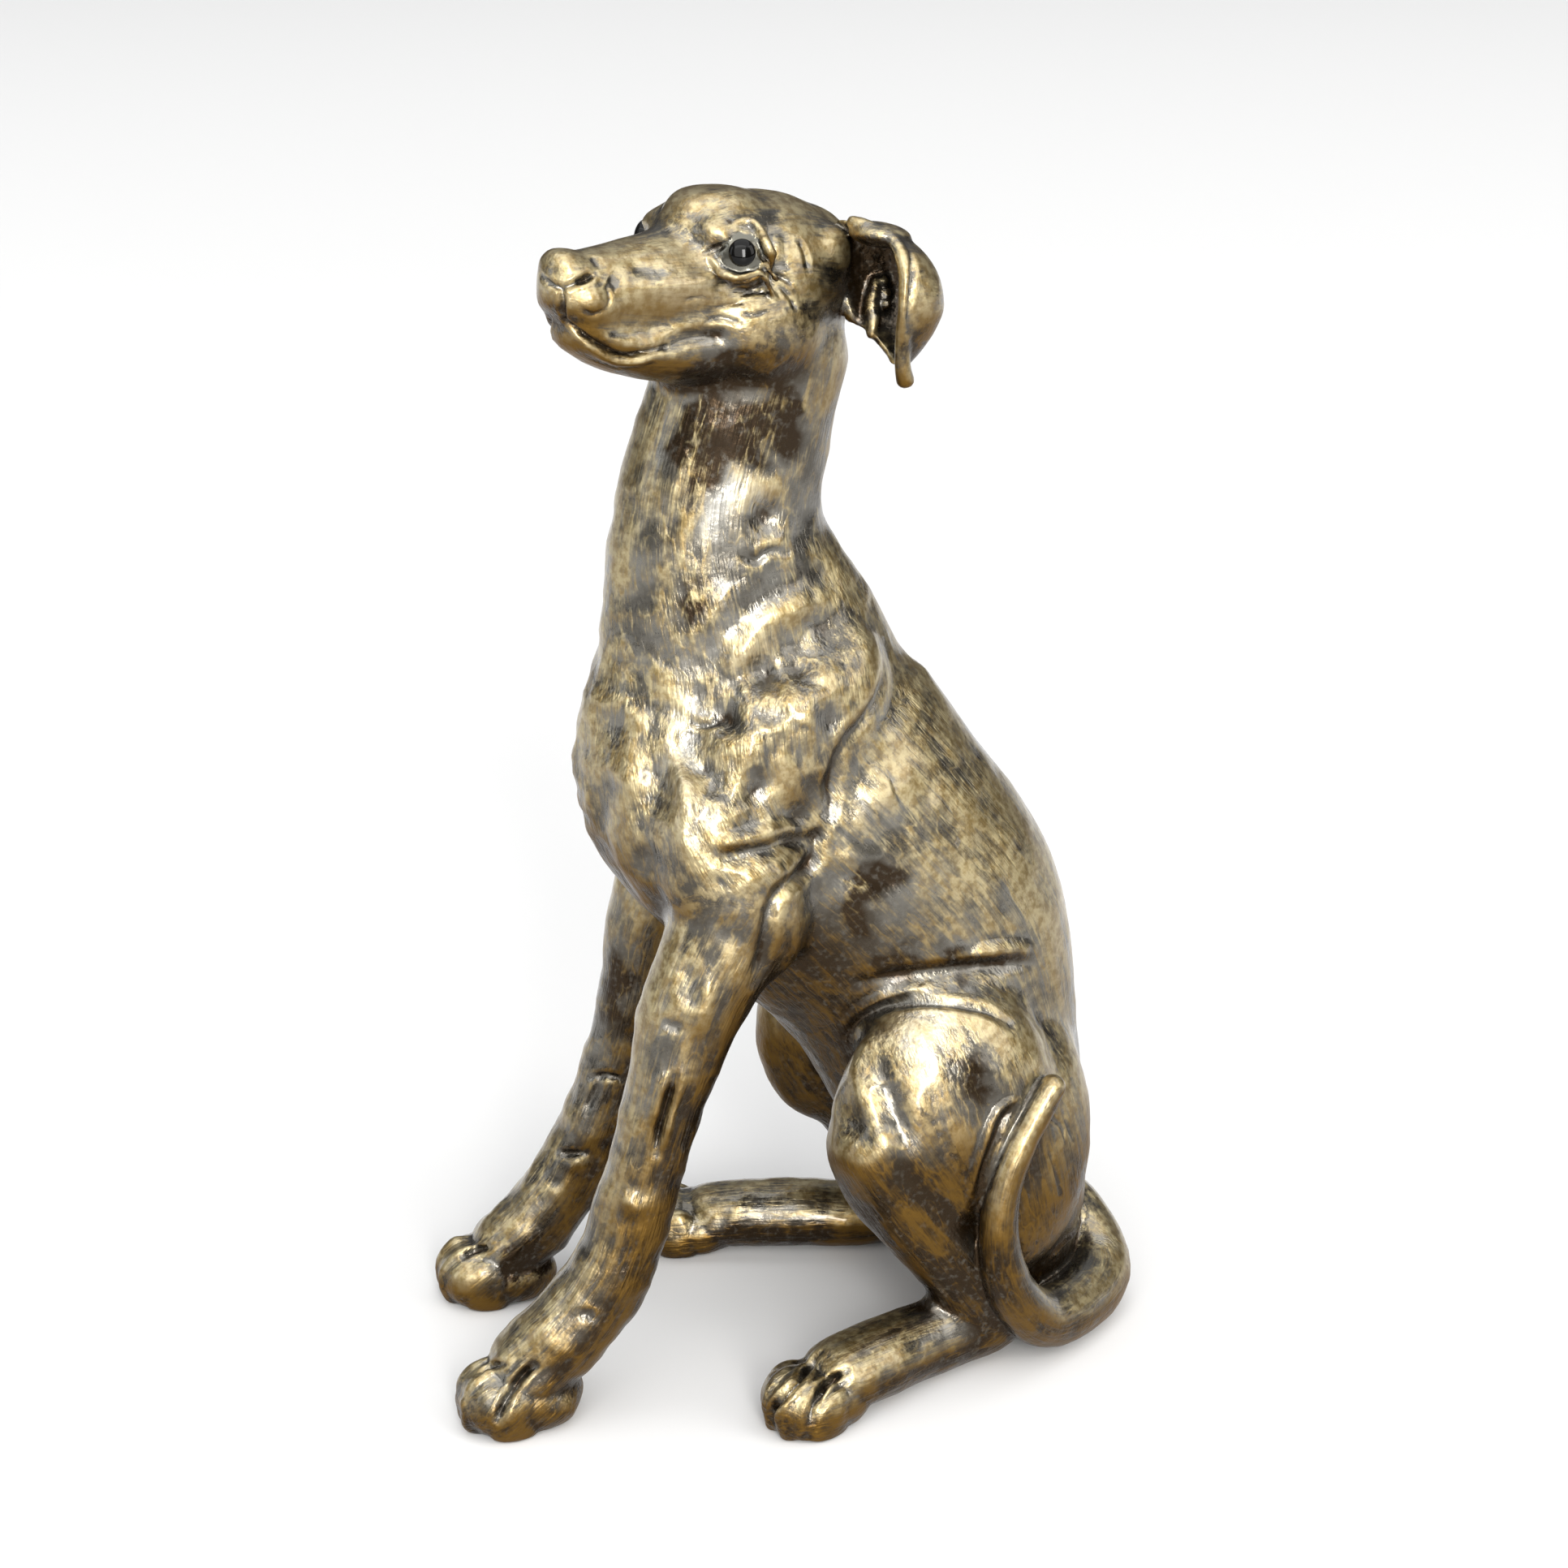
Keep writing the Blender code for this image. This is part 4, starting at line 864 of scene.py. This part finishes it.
def new_body():
    """The casting: fused masses and details, then tool strokes, thumb marks and flat soles."""
    clay = Clay()
    add_details(clay)
    clay.add_skin(*big_masses())
    body = fused(clay, DETAIL_VOXEL, DETAIL_ROUNDING)
    strokes = [*stroke_lines(body, FACE_STROKES + BROW_STROKES, mirrored_on_head),
               *stroke_lines(body, NOSE_STROKES + PAW_STROKES + BODY_STROKES),
               *stroke_lines(body, SIDE_STROKES, mirrored_on_body, HIDDEN_SHARE)]
    patches = [[(place, radius, strength) for u, v, radius, strength in table
                for place in skin_places(body, ((u, v),))]
               for table in (BARE_AND_SHADE_PATCHES, PAINTED_HIGHLIGHT_PATCHES)]
    normals = read_normals(body)
    points = press(read_points(body), normals, strokes)
    points = held_inside(points + normals * finger_relief(points)[:, None])
    points[:, 2] = np.maximum(points[:, 2], 0.0)
    write_points(body, points)
    fewer = body.modifiers.new("fewer_faces", "DECIMATE")
    fewer.ratio = min(1.0, BODY_TRIANGLES / (2.0 * len(body.data.polygons)))
    apply_modifiers(body)
    return body, patches


def brush_coordinates(points):
    """Coordinates across, deep and along the nearest limb's path, and how clearly it is nearest."""
    paths = [(rows, None, (1.0, 0.0, 0.0)) for rows in
             (TRUNK, FRONT_LEG_LEFT, FRONT_LEG_RIGHT, HIND_LEG_LEFT, HIND_LEG_RIGHT, TAIL)]
    paths.append((HEAD_PATH, HEAD_INVERSE, (0.0, 1.0, 0.0)))
    nearness, coordinates = [], []
    for rows, matrix, across in paths:
        rows = smooth_rows(rows, BRUSH_STEPS)
        local = points if matrix is None else placed(points, matrix)
        tangents, side, deep = path_frames(rows, np.array(across))
        steps = np.linalg.norm(np.diff(rows[:, :3], axis=0), axis=1)
        length = np.concatenate(((0.0,), np.cumsum(steps)))
        best = np.full(len(points), np.inf)
        index = np.zeros(len(points), int)
        for i, row in enumerate(rows):
            distance = ((local - row[:3]) ** 2).sum(axis=1)
            index = np.where(distance < best, i, index)
            best = np.minimum(best, distance)
        away = local - rows[index, :3]
        coordinates.append(np.column_stack((
            (away * side[index]).sum(1), (away * deep[index]).sum(1),
            (away * tangents[index]).sum(1) + length[index])))
        nearness.append(np.sqrt(best) / rows[index, 3:].mean(axis=1))
    nearness, coordinates = np.array(nearness), np.array(coordinates)
    order = np.argsort(nearness, axis=0)
    columns = np.arange(len(points))
    clear = nearness[order[1], columns] - nearness[order[0], columns]
    coordinates = coordinates[order[0], columns] + order[0][:, None] * BRUSH_GAP
    return coordinates, np.clip(clear / BRUSH_CLEAR, 0.0, 1.0)


def on_eyeballs(points):
    """1 where the skin is an eyeball's front, and 0 elsewhere."""
    eye = np.zeros(len(points))
    for side in (LEFT, RIGHT):
        local = placed(points, eye_matrix(side).inverted()) + (0.0, 0.0, EYEBALL_RADIUS)
        off_ball = np.abs(np.linalg.norm(local, axis=1) - EYEBALL_RADIUS)
        front = (np.hypot(local[:, 0], local[:, 1]) < EYEBALL_REACH) & (local[:, 2] > 0.0)
        on_ball = np.clip(EYEBALL_FULL - EYEBALL_SHARPNESS * off_ball, 0.0, 1.0)
        eye = np.maximum(eye, on_ball * front)
    return eye


def add_attribute(obj, name, values):
    """Store a number or a vector at each point of the mesh."""
    kind, field = ("FLOAT", "value") if values.ndim == 1 else ("FLOAT_VECTOR", "vector")
    layer = obj.data.attributes.new(name, kind, "POINT")
    layer.data.foreach_set(field, values.astype(np.float32).ravel())


def mark_surface(body, patches):
    """Store what the gilding follows: ridges, hollows, patches, painted shade and highlights, and
    the brush's way.
    """
    points, normals, edges = read_points(body), read_normals(body), read_edges(body)
    rise = ((points - blurred(points, edges, RISE_PASSES)) * normals).sum(axis=1)
    hollow = ((blurred(points, edges, HOLLOW_PASSES) - points) * normals).sum(axis=1)
    ragged = points
    for edge in RAGGED_EDGES:
        ragged = ragged + wander(points, *edge)
    # Bare blotches with patches of painted shade, and painted highlights, each with ragged edges
    bare_and_shade, painted_highlight = (sum(strength * falloff(ragged, place, radius)
                        for place, radius, strength in table) for table in patches)
    # Painted underside shade: from the softened normals' downward share, growing low down on the
    # figure
    soft = unit(blurred(normals, edges, UNDERSIDE_SHADE_PASSES))
    low = np.clip((SHADE_LOW_FROM - points[:, 2]) / SHADE_LOW_FADE, 0.0, 1.0)
    grain, clear = brush_coordinates(points)
    add_attribute(body, "rise", np.clip(rise / RISE_FULL, -1.0, 1.0))
    add_attribute(body, "hollow", np.clip(hollow / HOLLOW_FULL, -1.0, 1.0))
    add_attribute(body, "bare_and_shade", np.clip(bare_and_shade, -BARE_AND_SHADE_LIMIT, BARE_AND_SHADE_LIMIT))
    add_attribute(body, "painted_highlight", np.clip(painted_highlight, 0.0, 1.0))
    add_attribute(body, "underside_shade", np.clip(UNDERSIDE_SHADE_LEVEL + UNDERSIDE_SHADE_LOW * low - soft[:, 2], 0.0, 1.0))
    add_attribute(body, "hand", roughness_of_hand(points))
    add_attribute(body, "eyeball", on_eyeballs(points))
    add_attribute(body, "grain", grain)
    add_attribute(body, "grain_clear", clear)


def turned_bead(name, side):
    """Bead turned round its axis: a short cylinder, then radius * cos b out and dome * sin b up."""
    b = np.radians(np.linspace(0.0, 90.0, BEAD_RINGS))
    radius = np.concatenate(((0.0, 1.0, 1.0), np.cos(b[:-1]), (0.0,))) * BEAD_RADIUS
    height = np.concatenate(((-BEAD_DEPTH, -BEAD_DEPTH, -BEAD_DEPTH / 2.0),
                             BEAD_PROUD + BEAD_DOME * np.sin(b)))
    a = math.tau * np.arange(BEAD_SIDES) / BEAD_SIDES
    radius, height = radius[:, None], height[:, None]
    grid = np.stack((radius * np.cos(a), radius * np.sin(a), height + 0.0 * a), -1)
    points = (placed(grid.reshape(-1, 3), eye_matrix(side)) - BOX_CENTRE) * DRAWN_MILLIMETRE
    bead = new_object(name, points, grid_faces(*grid.shape[:2]))
    skin = bmesh.new()
    skin.from_mesh(bead.data)
    bmesh.ops.remove_doubles(skin, verts=skin.verts, dist=MERGE_DISTANCE)
    bmesh.ops.recalc_face_normals(skin, faces=skin.faces)
    skin.to_mesh(bead.data)
    skin.free()
    bead.data.shade_smooth()
    return bead


class Nodes:
    """Short way to add and join shader nodes."""

    def __init__(self, tree):
        self.tree = tree

    def add(self, kind, settings=None, **inputs):
        """A new node; each input goes by its socket's name, or by i and its number."""
        node = self.tree.nodes.new(kind)
        for key, value in (settings or {}).items():
            setattr(node, key, value)
        for key, value in inputs.items():
            self.set(node, int(key[1:]) if key[1:].isdigit() else key, value)
        return node

    def set(self, node, key, value):
        """Link a socket to another, or give it a value."""
        if isinstance(value, bpy.types.NodeSocket):
            self.tree.links.new(value, node.inputs[key])
        else:
            node.inputs[key].default_value = value

    def math(self, operation, a, b=0.0, clamp=False):
        """Arithmetic on two values."""
        settings = {"operation": operation, "use_clamp": clamp}
        return self.add("ShaderNodeMath", settings, i0=a, i1=b).outputs[0]

    def times(self, *values):
        """Product of the values."""
        product = values[0]
        for value in values[1:]:
            product = self.math("MULTIPLY", product, value)
        return product

    def total(self, *terms):
        """Sum of the pairs' value * weight."""
        total = self.times(*terms[0])
        for value, weight in terms[1:]:
            total = self.math("ADD", total, self.times(value, weight))
        return total

    def less(self, value):
        """1 - value."""
        return self.math("SUBTRACT", 1.0, value)

    def mix(self, share, a, b):
        """a * (1 - share) + b * share, for colours."""
        settings = {"data_type": "RGBA"}
        return self.add("ShaderNodeMix", settings, i0=share, i6=a, i7=b).outputs[2]

    def ramp(self, value, low, high, to_low=0.0, to_high=1.0):
        """Smooth step from one end to the other."""
        node = self.add("ShaderNodeMapRange", {"interpolation_type": "SMOOTHSTEP"}, Value=value)
        for key, number in (("From Min", low), ("From Max", high),
                            ("To Min", to_low), ("To Max", to_high)):
            node.inputs[key].default_value = number
        return node.outputs[0]

    def noise(self, vector, scale, detail=3.0, roughness=0.55):
        """Fractal noise, 0 to 1."""
        return self.add("ShaderNodeTexNoise", None, Vector=vector, Scale=scale, Detail=detail,
                        Roughness=roughness).outputs[0]

    def attribute(self, name, output="Fac"):
        """A number or vector stored on the mesh."""
        return self.add("ShaderNodeAttribute", {"attribute_name": name}).outputs[output]

    def vector_math(self, operation, a, b, output="Vector"):
        """Arithmetic on two vectors."""
        settings = {"operation": operation}
        return self.add("ShaderNodeVectorMath", settings, i0=a, i1=b).outputs[output]


def new_material(name):
    """Material, its nodes, its shader and object coordinates in millimetres."""
    mat = bpy.data.materials.new(name)
    mat.use_nodes = True
    n = Nodes(mat.node_tree)
    place = n.add("ShaderNodeTexCoord").outputs["Object"]
    shader = mat.node_tree.nodes["Principled BSDF"]
    return mat, n, shader, n.vector_math("MULTIPLY", place, MILLIMETRES)


def gilding_material():
    """Pewter-brown resin with antique gold brushed over its high places, with painted shade and
    painted highlights.
    """
    mat, n, shader, place = new_material("antique_gold_resin")
    grain = n.attribute("grain", "Vector")
    v = {name: n.noise(n.vector_math("MULTIPLY", grain, stretch), 1.0, detail, roughness)
         for name, stretch, detail, roughness in BRUSH_PATTERNS}
    for name, scale, detail, roughness in CLAY_PATTERNS:
        v[name] = n.noise(place, scale, detail, roughness)
    for name in SKIN_ATTRIBUTES:
        v[name] = n.attribute(name)

    def ramp(name, value):
        return n.ramp(v[value] if isinstance(value, str) else value, *RAMPS[name])

    clear, off_eye = v["grain_clear"], n.less(v["eyeball"])
    v["brushed"] = n.total((n.total((v["streak"], STREAK_SHARE), (v["hair"], HAIR_SHARE)), clear),
                           (v["clay"], n.less(clear)))
    web = n.math("ABSOLUTE", n.math("SUBTRACT", v["web"], WEB_LEVEL))
    v["web_lines"] = n.times(ramp("web_lines", web), clear)
    cover = n.total(*((v[name], weight) for name, weight in GOLD_WEIGHTS))
    gold = n.times(ramp("gold", cover), off_eye)

    # Dark brown: partly the real wash in hollows, partly painted shade in hollows, in the dark
    # patches and on undersides
    deep = n.math("ADD", ramp("deep_hollow", "hollow"), ramp("deep_bare_and_shade", "bare_and_shade"), True)
    deep = n.math("ADD", deep, ramp("deep_underside_shade", "underside_shade"), True)
    deep = n.times(deep, off_eye, ramp("deep_speckle", "speckle"))
    # Painted highlights: pale patches, streaked, and kept off the dark patches
    painted_highlight = n.times(v["painted_highlight"], ramp("painted_highlight_streak", "streak"), ramp("painted_highlight_off_dark", "bare_and_shade"))

    gold_colour = n.mix(ramp("tone", "clay"), GOLD_DARK, GOLD_PALE)
    # Painted shade: the gold turns dark brown on undersides and low down
    gold_colour = n.mix(ramp("gold_in_underside_shade", "underside_shade"), gold_colour, GOLD_IN_UNDERSIDE_SHADE)
    gold_colour = n.mix(n.times(painted_highlight, PAINTED_HIGHLIGHT_GOLD_SHARE), gold_colour, GOLD_PAINTED_HIGHLIGHT)
    pewter_colour = n.mix(ramp("tone", "blotch"), PEWTER_DARK, PEWTER_PALE)
    pewter_colour = n.mix(deep, pewter_colour, WASH_AND_SHADE_BROWN)
    pewter_colour = n.mix(v["eyeball"], pewter_colour, EYEBALL_GREY)
    pewter_colour = n.mix(n.times(painted_highlight, PAINTED_HIGHLIGHT_PEWTER_SHARE), pewter_colour, PEWTER_PAINTED_HIGHLIGHT)

    relief = n.times(n.total((v["strand"], STRAND_RELIEF), (v["scratch"], SCRATCH_RELIEF)), clear)
    relief = n.math("ADD", relief, n.times(v["lump"], LUMP_RELIEF))
    relief = n.times(relief, n.times(ramp("worked", "worked"), ramp("hand", "hand")))
    relief = n.math("ADD", relief, n.times(v["grit"], GRIT_RELIEF))
    relief = n.math("ADD", relief, n.times(gold, GOLD_RELIEF))
    relief = n.times(relief, n.less(n.times(v["eyeball"], RELIEF_LOST_ON_EYEBALL)))
    bump = n.add("ShaderNodeBump", None, Strength=1.0, Distance=RELIEF_DEPTH, Height=relief)

    n.set(shader, "Base Color", n.mix(gold, pewter_colour, gold_colour))
    n.set(shader, "Metallic", ramp("metallic", n.times(deep, n.less(gold))))
    n.set(shader, "Roughness", n.math("ADD", ramp("roughness", gold),
                                      n.times(v["clay"], CLAY_ROUGHNESS)))
    n.set(shader, "Normal", bump.outputs[0])
    n.set(shader, "Coat Weight", n.times(ramp("coat_underside_shade", "underside_shade"), ramp("coat_deep", deep)))
    shader.inputs["Coat Roughness"].default_value = COAT_ROUGHNESS
    return mat


def bead_material():
    """Black gloss with a faint brown cloud in it."""
    mat, n, shader, place = new_material("black_gloss_eye")
    n.set(shader, "Base Color", n.mix(n.noise(place, BEAD_TONE_SCALE), BEAD_BLACK, BEAD_BROWN))
    gloss = n.ramp(n.noise(place, BEAD_GLOSS_SCALE), *RAMPS["bead_roughness"])
    n.set(shader, "Roughness", gloss)
    shader.inputs["Specular IOR Level"].default_value = BEAD_SPECULAR
    return mat


def set_floor():
    """Square pale floor that the figure stands on."""
    half = FLOOR_HALF_WIDTH
    corners = ((-half, -half, 0.0), (half, -half, 0.0), (half, half, 0.0), (-half, half, 0.0))
    floor = new_object("floor", corners, ((0, 1, 2, 3),))
    mat = bpy.data.materials.new("pale_floor")
    mat.use_nodes = True
    shader = mat.node_tree.nodes["Principled BSDF"]
    shader.inputs["Base Color"].default_value = FLOOR_COLOUR
    shader.inputs["Roughness"].default_value = FLOOR_ROUGHNESS
    floor.data.materials.append(mat)


def set_room():
    """Room round the figure: walls paler towards the window, and a pale ceiling."""
    world = bpy.data.worlds.new("pale_room")
    world.use_nodes = True
    n = Nodes(world.node_tree)
    sight = n.add("ShaderNodeTexCoord").outputs["Generated"]
    to_window = n.vector_math("DOT_PRODUCT", sight, WINDOW_WAY, "Value")
    overhead = n.vector_math("DOT_PRODUCT", sight, UP, "Value")
    walls = n.mix(n.ramp(to_window, *WINDOW_RAMP), WALL_AWAY, WALL_AT_WINDOW)
    background = world.node_tree.nodes["Background"]
    n.set(background, "Color", n.mix(n.ramp(overhead, *CEILING_RAMP), walls, CEILING))
    bpy.context.scene.world = world


def outwards(azimuth, elevation):
    """Direction at an azimuth from -Y towards +X, and an elevation."""
    return Vector((math.sin(azimuth) * math.cos(elevation),
                   -math.cos(azimuth) * math.cos(elevation), math.sin(elevation)))


def set_lights():
    """Soft boxes that face the figure; a box's power is brightness * pi * its area."""
    for name, azimuth, elevation, width, height, brightness, colour in SOFT_BOXES:
        light = bpy.data.lights.new(name, "AREA")
        light.shape, light.size, light.size_y, light.color = "RECTANGLE", width, height, colour
        light.energy = brightness * math.pi * width * height
        lamp = bpy.data.objects.new(name, light)
        back = outwards(math.radians(azimuth), math.radians(elevation))
        lamp.location = back * BOX_DISTANCE
        lamp.rotation_euler = back.to_track_quat("Z", "Y").to_euler()
        bpy.context.scene.collection.objects.link(lamp)
    bpy.context.scene.view_settings.view_transform = "Standard"


def set_camera():
    """The photograph's camera."""
    camera = bpy.data.objects.new("camera", bpy.data.cameras.new("camera"))
    camera.data.sensor_width = SENSOR_WIDTH
    camera.data.lens = SENSOR_WIDTH * FOCAL_PIXELS / FRAME_WIDTH
    camera.data.clip_start = CLIP_START
    camera.location = Vector((EYE_POINT - BOX_CENTRE) * DRAWN_MILLIMETRE)
    camera.rotation_euler = Vector(BACK).to_track_quat("Z", "Y").to_euler()
    bpy.context.scene.collection.objects.link(camera)
    bpy.context.scene.camera = camera


def main():
    """Stage, then the casting and its two beads."""
    set_floor()
    set_room()
    set_lights()
    set_camera()
    body, patches = new_body()
    body.name = body.data.name = "figurine_casting"
    mark_surface(body, patches)
    write_points(body, (read_points(body) - BOX_CENTRE) * DRAWN_MILLIMETRE)
    body.data.materials.clear()
    body.data.materials.append(gilding_material())
    body.data.shade_smooth()
    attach(body, "root")
    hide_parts("dog_body")
    black = bead_material()
    for side, word in ((LEFT, "left"), (RIGHT, "right")):
        bead = turned_bead("gloss_bead_" + word, side)
        bead.data.materials.append(black)
        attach(bead, "root")
        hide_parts("eye_bead_" + word)


main()
